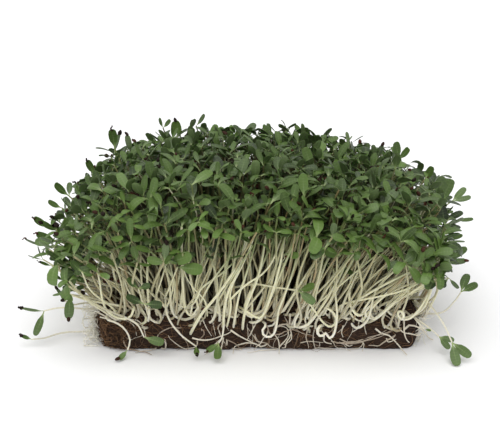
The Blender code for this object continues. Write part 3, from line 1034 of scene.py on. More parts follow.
@dataclass
class Thicket:
    """All the sprouts: where they stand, how they lean, and where their leaves go."""

    patterns: Patterns
    rng: random.Random
    dome: Dome = Dome()
    leaf: LeafHabit = LeafHabit()
    top: TopHabit = TopHabit()
    side: SideHabit = SideHabit()
    head_reach_left: float = 0.103
    head_reach_right: float = 0.0895
    reach_gain: float = 0.2
    head_reach_y: float = 0.0715
    head_top: float = 0.0835
    low_reach: float = 0.084
    low_level: float = 0.042
    overhang: float = 1.7
    narrow_from: float = 0.03
    narrowing: float = 0.25
    narrower_right: float = 1.4
    lowest_corner: float = 0.031
    lowest_middle: float = 0.057
    rim: tuple = (
        (-0.090, -0.003), (-0.076, -0.001), (-0.030, 0.0), (-0.020, 0.009), (0.018, 0.009), (0.027, 0.003),
        (0.044, 0.003), (0.051, 0.010), (0.064, 0.010), (0.073, 0.0), (0.090, -0.003),
    )
    lean: float = 0.011
    stem_radius: float = 0.00054
    stem_taper: tuple = (1.08, 0.42)
    stray_radius: float = 0.00055
    stray_tone: float = 0.55
    stray_floor: float = 0.0016
    trail_closed: float = 0.2
    tries: int = 9
    enough: float = 1e-6
    flattest: int = 5
    crowding: float = 1.55
    crowd: Crowd = field(default_factory=Crowd)
    sprouts: list = field(default_factory=list)

    def __post_init__(self) -> None:
        """Reads the slab's size from the solids."""
        self.slab_low, self.slab_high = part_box("peat_slab")

    def top_of_leaves(self, x: float, y: float) -> float:
        """Height of the top of the leaves over a point of the plan.

        Args:
            x: The place along the slab.
            y: The place across it.

        Returns:
            The height.
        """
        dome = self.dome
        floor = self.slab_high.z
        reach, power = dome.left if x < 0 else dome.right
        deep, deep_power = dome.deep
        spread = (abs(x) / reach) ** power + (abs(y) / deep) ** deep_power
        return floor + (dome.height - floor) * max(0.0, 1 - spread) ** dome.fullness

    def row_of(self, y: float) -> int:
        """The row of tufts, from 0 at the front, that a place belongs to."""
        share = (y - self.slab_low.y) / (self.slab_high.y - self.slab_low.y)
        return clamp(int(share * ROWS), 0, ROWS - 1)

    def leaf_matrix(self, head: Vector, along: Vector, normal: Vector, length: float, width: float) -> Matrix:
        """Where one leaf goes.

        Args:
            head: The point that it grows from.
            along: The way it points.
            normal: The way its upper face looks.
            length: Its length as a share of the pattern's.
            width: Its width as a share of the pattern's.

        Returns:
            The matrix for the pattern.
        """
        x = along.normalized()
        z = (normal - x * normal.dot(x)).normalized()
        y = z.cross(x)
        turn = Matrix((x, y, z)).transposed().to_4x4()
        return Matrix.Translation(head) @ turn @ Matrix.Diagonal((length, width, length, 1))

    def leaf_pair(self, head: Vector, stem_way: Vector, closed: float) -> list[tuple[Matrix, int, float]]:
        """Two opposite leaves at the head of a stem.

        Args:
            head: The stem's head.
            stem_way: The way the stem points there.
            closed: How far the two are folded up together, from 0 to 1.

        Returns:
            The matrix, pattern and tone of each leaf.
        """
        rng = self.rng
        habit = self.leaf
        jitter = drift(rng, habit.jitter, habit.jitter, 0)
        up = (stem_way * habit.follow_stem + UP * habit.follow_light + jitter).normalized()
        side = drift(rng, 1, 1, 1)
        side = (side - up * side.dot(up)).normalized()
        size = habit.least_size + habit.size_range * rng.random() ** habit.size_bias
        # Painted light and shade in the tone: lighter towards the front, darker the deeper a leaf sits below
        # the top of the leaves.
        fresh = clamp((habit.painted_light_front - head.y) / habit.painted_light_run) * habit.painted_light_gain
        depth = self.top_of_leaves(head.x, head.y) - head.z - habit.painted_shade_depth
        dull = min(habit.painted_shade_most, max(0.0, depth) * habit.painted_shade_gain)
        tone = clamp(rng.gauss(*habit.tone) + fresh - dull)
        made = []
        for way in (side, -side):
            rise = math.radians(rng.uniform(*habit.open_rise) * (1 - closed) + habit.closed_rise * closed)
            along = way * math.cos(rise) + up * math.sin(rise)
            normal = up * math.cos(rise) - way * math.sin(rise)
            normal += side.cross(up) * rng.gauss(0, habit.tilt)
            length = size * rng.uniform(*habit.length_share)
            width = length * rng.uniform(*habit.width_share)
            matrix = self.leaf_matrix(head, along, normal, length, width)
            kind = rng.randrange(len(self.patterns.leaves))
            made.append((matrix, kind, clamp(tone + rng.gauss(0, habit.own_tone))))
        return made

    def leaf_points(self, leaves: Sequence[tuple]) -> list[Vector]:
        """Points along the blades, which stand for them in the crowd."""
        places = [Vector((self.patterns.leaf_length * share, 0, 0)) for share in self.leaf.ball_places]
        return [matrix @ place for matrix, _, _ in leaves for place in places]

    def settle(self, knots: Callable[[], list[Vector]], row: int, radius: float, tube: Tube) -> None:
        """Tries a few routes and leaf pairs for a sprout, and keeps the one with the most room.

        Args:
            knots: Draws the points that the stem runs through.
            row: The row of tufts that it belongs to.
            radius: The stem's radius at its foot.
            tube: The tube that the stem is made from.
        """
        habit = self.leaf
        best = None
        for _ in range(self.tries):
            points = knots()
            way = (points[-1] - points[-2]).normalized()
            closed = self.rng.random() ** 2 * habit.most_closed
            leaves = self.leaf_pair(points[-1], way, closed)
            spots = self.leaf_points(leaves)
            heights = [p.z for p in spots]
            outside = max(0.0, habit.lowest - min(heights), max(heights) - habit.highest)
            score = sum(self.crowd.crush(p, habit.ball) for p in spots) + outside * habit.outside_cost
            if best is None or score < best[0]:
                best = (score, points, leaves, spots)
            if score < self.enough:
                break
        _, points, leaves, spots = best
        for spot in spots:
            self.crowd.add(spot, habit.ball)
        route = smooth_route(points, tube.rings, self.crowding)
        self.sprouts.append(Sprout(route, radius, self.rng.random(), leaves, row, tube))

    def head_place(self, base: Vector) -> Vector:
        """Draws where a sprout's head comes.

        Args:
            base: Where the sprout stands.

        Returns:
            The head.
        """
        rng = self.rng
        habit = self.top
        u = base.x / self.slab_high.x
        v = base.y / self.slab_high.y
        reach = self.head_reach_left if u < 0 else self.reach_right(base.y)
        x = u * reach + rng.gauss(0, habit.wander)
        y = v * self.head_reach_y + rng.gauss(0, habit.wander)
        x += self.lean * max(0.0, -v) ** 2 * (1 - u * u) * (0.4 + 0.6 * (u > -0.75))
        x, y = self.hold_inside(x, y)
        drop = habit.drop_least + min(habit.drop_most, rng.expovariate(1 / habit.drop_mean))
        drop -= habit.proud * (rng.random() < habit.proud_share)
        lowest = self.lowest_head(u) + self.rim_lift(x) * clamp(-1.6 - 2.6 * v)
        z = min(self.head_top, max(lowest, self.top_of_leaves(x, y) - drop))
        return self.pull_in(Vector((x, y, z)))

    def pull_in(self, head: Vector) -> Vector:
        """Draws low heads in towards the slab, as the leaves overhang it higher up.

        Args:
            head: A sprout's head.

        Returns:
            The head, moved.
        """
        limit = self.low_reach + max(0.0, head.z - self.low_level) * self.overhang
        head.x = clamp(head.x, -limit, limit)
        return head

    def hold_inside(self, x: float, y: float) -> tuple[float, float]:
        """Keeps a head where the leaves end: the front corners are the narrowest.

        Args:
            x: The head's place along the slab.
            y: The head's place across it.

        Returns:
            Both, held inside.
        """
        narrow = min(0.0, y + self.narrow_from) * self.narrowing
        left = -self.head_reach_left - 0.001 - narrow
        right = self.reach_right(y) + 0.002 + narrow * self.narrower_right
        deep = self.head_reach_y + 0.002
        return clamp(x, left, right), clamp(y, -deep, deep)

    def reach_right(self, y: float) -> float:
        """How far to the right a head may come: farther at the back."""
        return self.head_reach_right + self.reach_gain * max(0.0, y)

    def lowest_head(self, u: float) -> float:
        """How low a head may hang at a share of the way to the slab's ends."""
        return self.lowest_middle + (self.lowest_corner - self.lowest_middle) * abs(u) ** 3

    def rim_lift(self, x: float) -> float:
        """How much higher the lowest leaves hang along the uneven front."""
        return float(np.interp(x, *zip(*self.rim)))

    def grow_top(self) -> None:
        """Sprouts that stand on top of the slab, in an uneven grid."""
        rng = self.rng
        habit = self.top
        span_x = self.slab_high.x - habit.margin
        span_y = self.slab_high.y - habit.margin
        across = int(2 * span_x / habit.spacing)
        back = int(2 * span_y / habit.spacing)
        for j in range(back):
            for i in range(across):
                if abs(i / across - 0.5) > habit.thin_beyond and rng.random() < habit.thinned:
                    continue
                x = -span_x + (i + rng.uniform(*habit.cell)) * 2 * span_x / across
                y = -span_y + (j + rng.uniform(*habit.cell)) * 2 * span_y / back
                base = Vector((x, y, self.slab_high.z - habit.sunk))
                radius = self.stem_radius * rng.uniform(*habit.thickness)

                def knots() -> list[Vector]:
                    """A stem that rises and bends over towards its head."""
                    head = self.head_place(base)
                    low, high = base.lerp(head, habit.low_place), base.lerp(head, habit.high_place)
                    low.z = base.z + (head.z - base.z) * habit.low_rise + habit.low_lift
                    high.z = base.z + (head.z - base.z) * habit.high_rise
                    wave = drift(rng, habit.wave, habit.wave, 0)
                    return [base, low + wave, high - wave * rng.uniform(*habit.back_wave), head]

                self.settle(knots, self.row_of(y), radius, Tube.STEM)

    def grow_side(self, side: Side, count: int) -> None:
        """Sprouts that come out of one side of the slab, and bend up to the light.

        Args:
            side: The side.
            count: How many there are.
        """
        rng = self.rng
        habit = self.side
        run, outward, half_run, half_depth = self.side_frame(side)
        is_end = side in (Side.LEFT, Side.RIGHT)
        in_front = side is Side.FRONT
        for number in range(count):
            share = (number + rng.random()) / count * 2 - 1
            foot = rng.uniform(*(habit.feet if rng.random() < habit.feet_share else habit.low_feet))
            base = run * (share * half_run) + outward * (half_depth - habit.sunk) + UP * foot
            bulge = rng.uniform(*habit.bulge)
            dip = rng.choice(habit.dips)
            sway = rng.gauss(0, habit.sway) + (self.lean * 0.5 if in_front else 0)
            hook = rng.gauss(0, habit.hook)

            def knots() -> list[Vector]:
                """A stem that leaves the slab level or downwards, and then turns up."""
                elbow = base + outward * (habit.sunk + bulge * 0.6) - UP * dip * 0.9 + run * hook * 0.7
                knee = base + outward * (habit.sunk + bulge) + UP * (habit.knee_lift - dip * 0.4)
                knee += run * (hook * 1.8)
                level = rng.uniform(*habit.levels[is_end])
                level += self.rim_lift(base.x) if in_front else 0.0
                reach = rng.uniform(*habit.reaches[is_end])
                head = knee + outward * reach + run * (sway * 1.5 + share * rng.uniform(*habit.fan))
                head.x, head.y = self.hold_inside(head.x, head.y)
                level = min(level, self.top_of_leaves(head.x, head.y) - habit.under_dome)
                head.z = max(habit.lowest, level)
                head = self.pull_in(head)
                mid = knee.lerp(head, 0.5) + outward * rng.gauss(*habit.belly)
                mid += run * rng.gauss(0, habit.stray)
                return [base, elbow, knee, mid, head]

            radius = self.stem_radius * rng.uniform(*habit.thickness)
            self.settle(knots, self.row_of(base.y), radius, Tube.HOOK if in_front else Tube.STEM)

    def side_frame(self, side: Side) -> tuple[Vector, Vector, float, float]:
        """The lie of a side.

        Args:
            side: The side.

        Returns:
            The way along it, the way out of it, and half the length and depth there.
        """
        x, y = Vector((1, 0, 0)), Vector((0, 1, 0))
        long_side = (self.slab_high.x - self.side.margin, self.slab_high.y)
        short_side = (self.slab_high.y - self.side.margin, self.slab_high.x)
        frames = {
            Side.FRONT: (x, -y, *long_side),
            Side.BACK: (x, y, *long_side),
            Side.LEFT: (y, -x, *short_side),
            Side.RIGHT: (y, x, *short_side),
        }
        return frames[side]

    def grow_strays(self) -> None:
        """The sprouts that lean out, or hang over the edge and reach the surface."""
        for spec in STRAYS:
            route = metres(spec.points)
            head = route[-1]
            leaves = []
            for along, facing, size in spec.leaves:
                way = Vector(along).normalized()
                way.z = max(way.z, (self.stray_floor - head.z) / (size * self.patterns.leaf_length))
                matrix = self.leaf_matrix(head, way, Vector(facing.value), size, size * spec.slim)
                leaves.append((matrix, self.flattest, spec.tone))
            for spot in self.leaf_points(leaves):
                self.crowd.add(spot, self.leaf.ball)
            route = smooth_route(route, Tube.STEM.rings)
            grown = Sprout(route, self.stray_radius, self.stray_tone, leaves, spec.row, capped=spec.capped)
            self.sprouts.append(grown)

    def grow_trails(self, trails: Sequence["Trail"]) -> None:
        """The sprouts on the front whose routes are listed.

        Args:
            trails: Their stems.
        """
        for trail in trails:
            route = smooth_route(metres(trail.points), Tube.CURL.rings)
            leaves = self.leaf_pair(route[-1], (route[-1] - route[-2]).normalized(), self.trail_closed)
            leaves = leaves if trail.leafy else []
            self.sprouts.append(Sprout(route, trail.radius / MILLIMETRES, trail.tone, leaves, 0, Tube.CURL))

    def grow(self) -> None:
        """Draws all the sprouts."""
        self.grow_strays()
        self.grow_trails(CURLS)
        for side, count in self.side.counts:
            self.grow_side(side, count)
        self.grow_top()
        self.grow_trails(HANGERS)

    def build(self, leaf: Finish, stem: Finish) -> list[Thing]:
        """Makes the pieces: for each row of tufts its leaves and its stems.

        Args:
            leaf: The leaves' material.
            stem: The stems' material.

        Returns:
            The pieces.
        """
        pieces = []
        for row in range(ROWS):
            tufts = [f"tuft_{letter}{row + 1}" for letter in COLUMNS]
            blades = Heap(f"leaves_row_{row + 1}")
            stems = Heap(f"stems_row_{row + 1}")
            for sprout in self.sprouts:
                if sprout.row != row:
                    continue
                radii = taper(sprout.radius, *self.stem_taper, len(sprout.route))
                stems.add_tube(self.patterns.tubes[sprout.tube], sprout.route, radii, sprout.tone)
                for matrix, kind, tone in sprout.leaves:
                    blades.add(self.patterns.leaves[kind], matrix, tone)
            for heap, material, slot in ((blades, leaf, "leaf"), (stems, stem, "stem_root")):
                pieces.append(tie(heap.join(material), slot, *tufts))
        return pieces


class Facing(Enum):
    """Which way the upper face of a stray's leaf looks."""

    VIEWER = (0, -0.89, 0.45)
    BETWEEN = (0, -0.65, 0.75)
    SKY = (0, -0.3, 0.95)
    BACK = (0, 0.8, 0.6)
    EDGE = (0, -0.05, 1.0)


VIEWER, BETWEEN, SKY, BACK, EDGE = Facing

@dataclass(frozen=True)
class Stray:
    """A stray sprout: its stem's points in millimetres, and the way, face and size of each leaf."""

    row: int
    points: tuple
    leaves: tuple
    tone: float = 0.7
    capped: bool = False
    slim: float = 1.0


@dataclass(frozen=True)
class Trail:
    """A stem or root whose points are listed: its points and foot's radius in millimetres, and its tone."""

    points: tuple
    radius: float = 0.68
    tone: float = 0.9
    leafy: bool = True


STRAYS = tuple(Stray(*row) for row in (
    (0, ((-73.8, -46, 8.8), (-80.2, -41.6, 3.5), (-86.4, -42.3, 3), (-93.4, -42.8, 3),
     (-98.9, -45.6, 3), (-102.8, -49.8, 3.2), (-108.3, -52.8, 4)),
     (((-0.92, -0.1, 0.38), BETWEEN, 0.5),), 0.5, True, 0.9),
    (0, ((-72.3, -46, 18.3), (-78.5, -49, 17.8), (-84.9, -50, 18.8), (-91.5, -50, 19.3),
     (-97.2, -50, 18.8), (-102, -50, 17.5)), (((-1, 0, 0), EDGE, 1.02),
     ((-0.34, -0.16, -0.93), VIEWER, 1.19)), 0.6, False, 0.7),
    (0, ((-69, -50, 20.5), (-71, -60, 18.5), (-66.2, -61.5, 16.9), (-61.9, -63, 14.1),
     (-59.8, -63.5, 8.9), (-61.1, -64, 4.1)), (((-0.44, -0.41, -0.8), VIEWER, 0.58),), 0.7, True),
    (0, ((-68, -54, 17.6), (-61.1, -61, 18.9), (-55.9, -63, 16.3), (-53.3, -63, 10.2)),
     (((0.9, -0.2, -0.25), BETWEEN, 0.95),), 0.6),
    (0, ((-43.4, -56, 31.6), (-42.7, -60, 20.5), (-37.2, -61.5, 11.5), (-29.5, -62, 5)),
     (((0.12, -0.85, -0.3), SKY, 0.6),), 0.6, True),
    (0, ((-16, -54, 17), (-16.5, -59, 14), (-17.3, -62, 9.5), (-18.8, -63.5, 7.5)),
     (((-0.75, -0.5, -0.45), BETWEEN, 0.7), ((-0.05, -0.75, -0.6), VIEWER, 0.85))),
    (0, ((66, -48, 21), (75.4, -54, 26.1), (83.6, -62.5, 18.5), (88.5, -66, 9)),
     (((0.1, -0.35, -0.8), VIEWER, 1.05), ((0.75, -0.2, -0.55), VIEWER, 1))),
    (0, ((70, -52, 17.5), (77.5, -58, 14), (81.5, -59, 11), (84, -59, 8.5)),
     (((0.9, 0, -0.3), BETWEEN, 0.7), ((0.6, -0.3, -0.65), VIEWER, 0.7))),
    (1, ((73, -40, 12), (87.1, -45, 14.1), (94.8, -40, 17.7), (98.3, -38, 22.1)),
     (((0.2, 0, 1), VIEWER, 1), ((0.85, 0, 0.5), VIEWER, 0.85)), 0.5),
    (0, ((-19, -55, 30), (-3.4, -62, 36.2), (6, -65.5, 36.3), (17.3, -66.5, 35)),
     (((0.8, -0.3, 0.35), BETWEEN, 0.85), ((0.75, -0.3, -0.5), VIEWER, 0.9)), 0.8),
    (4, ((62, 44, 21), (68, 50, 28), (80, 58, 22), (86, 62, 12)), (((0.3, 0.3, -0.7), BACK, 0.9),
     ((0.7, 0.3, -0.3), BACK, 0.9))),
    (4, ((-42, 46, 21), (-44, 54, 28), (-48, 64, 18), (-51, 67, 11)), (((0.3, 0.3, -0.7), BACK, 0.9),
     ((-0.6, 0.3, -0.4), BACK, 0.9))),
    (2, ((-68, 0, 21), (-82.4, -2, 44.8), (-96.7, -4, 60.7)), (((-0.71, -0.2, 0.68), BETWEEN, 0.96),
     ((-0.02, 0.67, 0.74), VIEWER, 0.7)), 0.6),
    (2, ((-69, -6, 21), (-83.9, -9, 42.9), (-98.9, -12, 56.8)),
     (((-0.85, -0.25, 0.47), BETWEEN, 0.76),), 0.55),
    (1, ((-69, -16, 20), (-86.1, -19, 39), (-103.1, -22, 50.1)),
     (((-0.79, -0.31, 0.53), BETWEEN, 0.92), ((0.5, 0.35, 0.79), VIEWER, 0.54)), 0.6),
    (1, ((-68, -22, 20), (-83.1, -26, 36.8), (-98.2, -30, 45.6)),
     (((-0.92, -0.19, 0.35), BETWEEN, 1.02),), 0.5, True),
    (1, ((-68, -26, 19), (-90.2, -29, 31.1), (-103.8, -32, 43.7)), (((-0.94, -0.19, 0.29), EDGE, 0.97),
     ((0.49, -0.64, -0.59), VIEWER, 0.59)), 0.5, False, 0.8),
    (0, ((-69, -30, 18), (-90.8, -32, 27.5), (-104.7, -34, 37.5)), (((-0.94, -0.26, 0.24), EDGE, 0.72),
     ((-0.42, 0, 0.91), EDGE, 0.7)), 0.45, False, 0.6),
    (0, ((-69, -34, 17), (-87.9, -37, 26.9), (-99.1, -40, 36.5)),
     (((-0.88, -0.29, 0.38), BETWEEN, 0.64),), 0.4, True, 0.6),
    (0, ((-69, -36, 16), (-84.5, -40, 24.5), (-92.9, -44, 30.4)),
     (((-0.75, -0.28, 0.61), BETWEEN, 0.68),), 0.35, True, 0.62),
    (0, ((-69, -40, 16), (-82.7, -46, 19.8), (-88.1, -50, 20.6), (-91, -52, 23.5)),
     (((-0.42, -0.12, 0.9), VIEWER, 0.82),), 0.3, True, 0.42),
    (0, ((72, -53, 17.3), (73.5, -58, 16), (75.6, -60, 13.9), (76.9, -60.5, 13.1)),
     (((0.95, -0.17, -0.27), BETWEEN, 0.27),)),
    (0, ((-66, -50, 20), (-76.5, -61, 29), (-85.6, -66, 32.8)), (((0.02, 0, 1), VIEWER, 1.25),
     ((-0.01, -0.27, -0.96), VIEWER, 1.04)), 0.5),
    (3, ((-58, 20, 21), (-67, 20, 54.3), (-76, 20, 79.6)), (((-0.09, 0, 1), VIEWER, 1.07),), 0.5, True),
    (2, ((-62, 5, 21), (-73.4, 5.5, 49), (-84.7, 6, 69.1)),
     (((-0.46, 0, 0.89), BETWEEN, 0.85),), 0.5, True),
    (2, ((64, 4, 21), (79, 1, 42.7), (93.9, -2, 56.4)), (((-0.09, 0.07, 0.99), VIEWER, 1.39),
     ((0.39, 0.3, 0.87), VIEWER, 1.26)), 0.62),
    (3, ((60, 20, 21), (74.6, 20, 45.2), (89.2, 20, 61.4)), (((0.43, 0, 0.9), BETWEEN, 0.93),), 0.6),
    (3, ((52, 30, 21), (64.5, 30, 50), (76.9, 30, 71.1)), (((-0.24, 0.09, 0.97), VIEWER, 1.01),
     ((0.63, 0.12, 0.77), VIEWER, 0.79)), 0.6),
    (2, ((66, 0, 21), (82.5, -2, 43.5), (99, -4, 58)), (((0.99, 0, 0.16), BETWEEN, 0.92),
     ((0.69, 0.66, 0.29), SKY, 1.14)), 0.6, False, 0.75),
    (2, ((68, -8, 21), (83.9, -9, 39.4), (99.8, -10, 49.8)),
     (((1, 0, -0.06), SKY, 0.87),), 0.5, False, 0.75),
    (1, ((68, -14, 20), (81, -17, 35.3), (94, -20, 42.6)), (((0.97, 0, 0.26), BETWEEN, 0.76),
     ((0.73, -0.63, -0.27), BETWEEN, 0.6)), 0.6, False, 0.7),
    (1, ((68, -20, 20), (79.2, -25, 31.3), (90.4, -30, 34.6)), (((1, 0, 0), BETWEEN, 1.06),
     ((0.86, 0.29, 0.43), VIEWER, 1.3)), 0.5, True, 0.7),
    (0, ((69, -34, 18), (80.5, -36, 27.7), (91.9, -38, 29.4)), (((-0.77, -0.51, -0.39), VIEWER, 0.73),
     ((0.63, -0.29, -0.72), BETWEEN, 0.64)), 0.35, False, 0.75),
    (0, ((-50, -50, 21.5), (-45.9, -64, 34.2), (-40.9, -71.2, 49.9)),
     (((0.93, -0.15, 0.34), VIEWER, 1.23), ((-0.98, 0, 0.21), VIEWER, 0.84)), 0.95),
    (0, ((-46, -50, 21.5), (-41.6, -64, 33.4), (-36.1, -71.2, 48.1)),
     (((0.95, -0.31, 0.01), VIEWER, 1.21),), 0.9),
    (0, ((-62, -50, 21.5), (-61.6, -61.5, 32.5), (-61.1, -64, 47.7)), (((0.24, 0, 0.97), VIEWER, 0.88),
     ((-0.93, -0.34, -0.11), VIEWER, 0.56))),
    (0, ((20, -50, 21.5), (22.6, -61.5, 35.8), (25.7, -66, 55.6)),
     (((0.86, -0.42, -0.29), VIEWER, 0.89), ((-0.62, 0.48, 0.62), BETWEEN, 0.39)), 1),
    (0, ((10, -50, 21.5), (10.3, -61.5, 34.4), (10.7, -66, 52.3)),
     (((0.92, -0.4, 0.02), VIEWER, 0.71),), 0.85),
    (0, ((44, -50, 21.5), (49.3, -61.5, 37.6), (55.9, -58, 59.9)),
     (((0.97, -0.23, 0.13), VIEWER, 0.84), ((-0.9, -0.3, -0.32), BETWEEN, 0.63)), 0.9),
    (0, ((60, -48, 21.5), (64.2, -61.5, 36.5), (69.3, -52, 57.3)), (((0.1, 0.26, 0.96), VIEWER, 0.74),
     ((0.41, -0.64, -0.65), VIEWER, 0.88)), 0.95),
    # The next two pairs hang low at the front; their low tones darken their leaves as painted shade.
    (0, ((-50, -50, 22), (-50.7, -64, 25), (-51.6, -69.2, 29.6)), (((-0.93, 0, 0.38), BETWEEN, 0.86),
     ((0.97, -0.22, 0.04), VIEWER, 0.86)), 0.1),
    (0, ((-52, -50, 22), (-52.9, -64, 28), (-54.1, -68.5, 36.8)), (((-0.73, 0, 0.68), BETWEEN, 0.67),
     ((0.88, -0.28, 0.39), VIEWER, 0.67)), 0.3),
    (3, ((-20, 30, 21), (-31.2, 35, 51), (-42.5, 40, 81.1)), (((-0.3, 0.1, 0.95), VIEWER, 0.98),), 0.8),
    (3, ((-12, 30, 21), (-23, 35, 54.4), (-34, 40, 87.8)), (((0.68, 0.12, 0.72), SKY, 0.77),), 0.3),
    (3, ((-26, 30, 21), (-39.1, 35, 53.8), (-52.2, 40, 86.7)), (((0.71, 0.16, 0.68), BETWEEN, 0.59),
     ((-0.42, 0, 0.91), SKY, 0.58)), 0.4),
))

CURLS = tuple(Trail(*row) for row in (
    (((50.9, -53, 20.2), (47.6, -59, 19.8), (44.6, -60.5, 20.7), (41.8, -61, 25.5), (41, -61.5, 32.1),
     (41.6, -62.5, 43.3), (41.2, -64, 54)),),
    (((65, -53, 14.6), (66.4, -60, 18.2), (66, -62, 21.7), (64.2, -62, 23), (64, -60.5, 20.2),
     (66.5, -59.5, 17.5), (70.5, -60.5, 19.2), (75.4, -61, 27), (80.5, -60, 40)),),
    (((30.9, -53, 11.5), (28.2, -60, 14.4), (26.8, -61.5, 12.3), (28.7, -61, 9.5), (31.1, -60, 10.8),
     (32.5, -60, 8.2), (34.7, -60.5, 10.5), (35.8, -61, 18.9), (35, -61.5, 28.2), (33.2, -63, 44)),),
))

HANGERS = tuple(Trail(*row) for row in (
    (((-38.8, -54.5, 11.3), (-36.6, -60.8, 19.4), (-32.6, -63.5, 26.1), (-27.7, -66.9, 34.4),
     (-23.9, -68.1, 42.6), (-19.8, -67.5, 51.9), (-17.1, -65.6, 59.7)), 0.45, 0.3),
    (((-33.2, -54.5, 6.1), (-30.4, -59.5, 13.6), (-25.9, -62.1, 22.4), (-20.9, -65, 29.7),
     (-15, -67.8, 39.2), (-8.7, -67.9, 50.2), (-4.8, -65.5, 60.6)), 0.7, 0.96),
    (((-33.4, -54.5, 20.5), (-28.8, -65, 29.7), (-26.2, -67.5, 36.2), (-21.7, -67.8, 40.2),
     (-16.7, -68.2, 44.1), (-10.1, -67.7, 51.1), (-6.1, -65.6, 59.7)), 0.5, 0.9),
    (((-24.3, -54.5, 15.9), (-24.2, -63.5, 26.1), (-25.6, -65.5, 30.9), (-29.6, -67.6, 36.7),
     (-32.8, -68.1, 42.6), (-34.8, -67.7, 51.1)), 0.36, 0.95),
    (((-17.1, -54.5, 8.1), (-16.6, -60.1, 17.5), (-15.7, -63.8, 26.7), (-13.7, -67.3, 35.6),
     (-10.2, -68.1, 43.1), (-7.9, -67.5, 51.9), (-6.1, -65.5, 60.6)), 0.7, 0.97),
    (((-15.9, -54.5, 9.2), (-14, -60.6, 18.7), (-13, -63.8, 26.7), (-13.3, -65.9, 32.1),
     (-11.9, -67.7, 38.7), (-7.4, -68.4, 48.5), (-2.6, -65.6, 59.7)), 0.5, 0.97),
    (((-12.4, -54.5, 9.7), (-11.3, -60.6, 18.7), (-10.3, -63.5, 26.1), (-8.8, -66.9, 34.4),
     (-6.1, -68.1, 43.1), (-3.4, -67.4, 52.4), (-1.2, -65.5, 60.6)), 0.55, 0.93),
    (((-16, -53, 21.3), (-12.5, -65.5, 30.9), (-8.8, -67.3, 35.6), (-4.3, -67.8, 39.7),
     (0.6, -68.1, 43.1), (5.4, -68.2, 49.4), (9.3, -65.8, 58.8)), 0.5, 0.96),
    (((-7.9, -54.5, 9.2), (-7.3, -60.1, 17.5), (-6.2, -63.1, 24.9), (-4.3, -65.7, 31.5),
     (-1.2, -67.9, 40.7), (1, -67.9, 50.2), (2.7, -65.5, 60.6)), 0.65, 0.95),
    (((-9.5, -54.5, 21.6), (-6.2, -62.3, 23.1), (-3.4, -61.3, 20.6), (-0.6, -60.6, 18.7),
     (1.2, -61, 19.7), (3, -62.6, 23.7), (4.7, -65.2, 30.3), (7.3, -67.9, 40.7), (9.4, -67.9, 50.2),
     (11.1, -65.5, 60.6)), 0.6, 0.97),
    (((1.3, -54.5, 14.4), (3.1, -59.5, 14.7), (1.5, -59.5, 12.1), (2.2, -59.5, 9.3), (5, -59.5, 8.5),
     (7.3, -59.5, 11.1), (8.2, -59.6, 16.2), (8.9, -62.6, 23.7), (11, -65.7, 31.5), (13.9, -68, 41.7),
     (16, -67.9, 50.2), (17.7, -65.5, 60.6)), 0.55, 0.88),
    (((29.3, -53, 21.3), (30.8, -63.1, 24.9), (33.8, -62, 22.1), (35.4, -60.5, 18.4),
     (34.9, -59.5, 14.9), (32.4, -59.5, 13.9), (29, -59.9, 16.9), (25, -62.6, 23.7), (21, -65.2, 30.3),
     (18.9, -66.6, 33.9)), 0.6, 0.98, False),
    (((-58.9, -50, 21.5), (-57.6, -62.8, 24.3), (-59.2, -61.1, 20), (-62.6, -60.3, 18.1),
     (-67, -61.1, 20), (-70.2, -62.8, 24.3), (-71.2, -65.5, 30.9), (-71.3, -67.7, 38.7),
     (-72, -68.4, 46.6)), 0.6, 0.96),
))

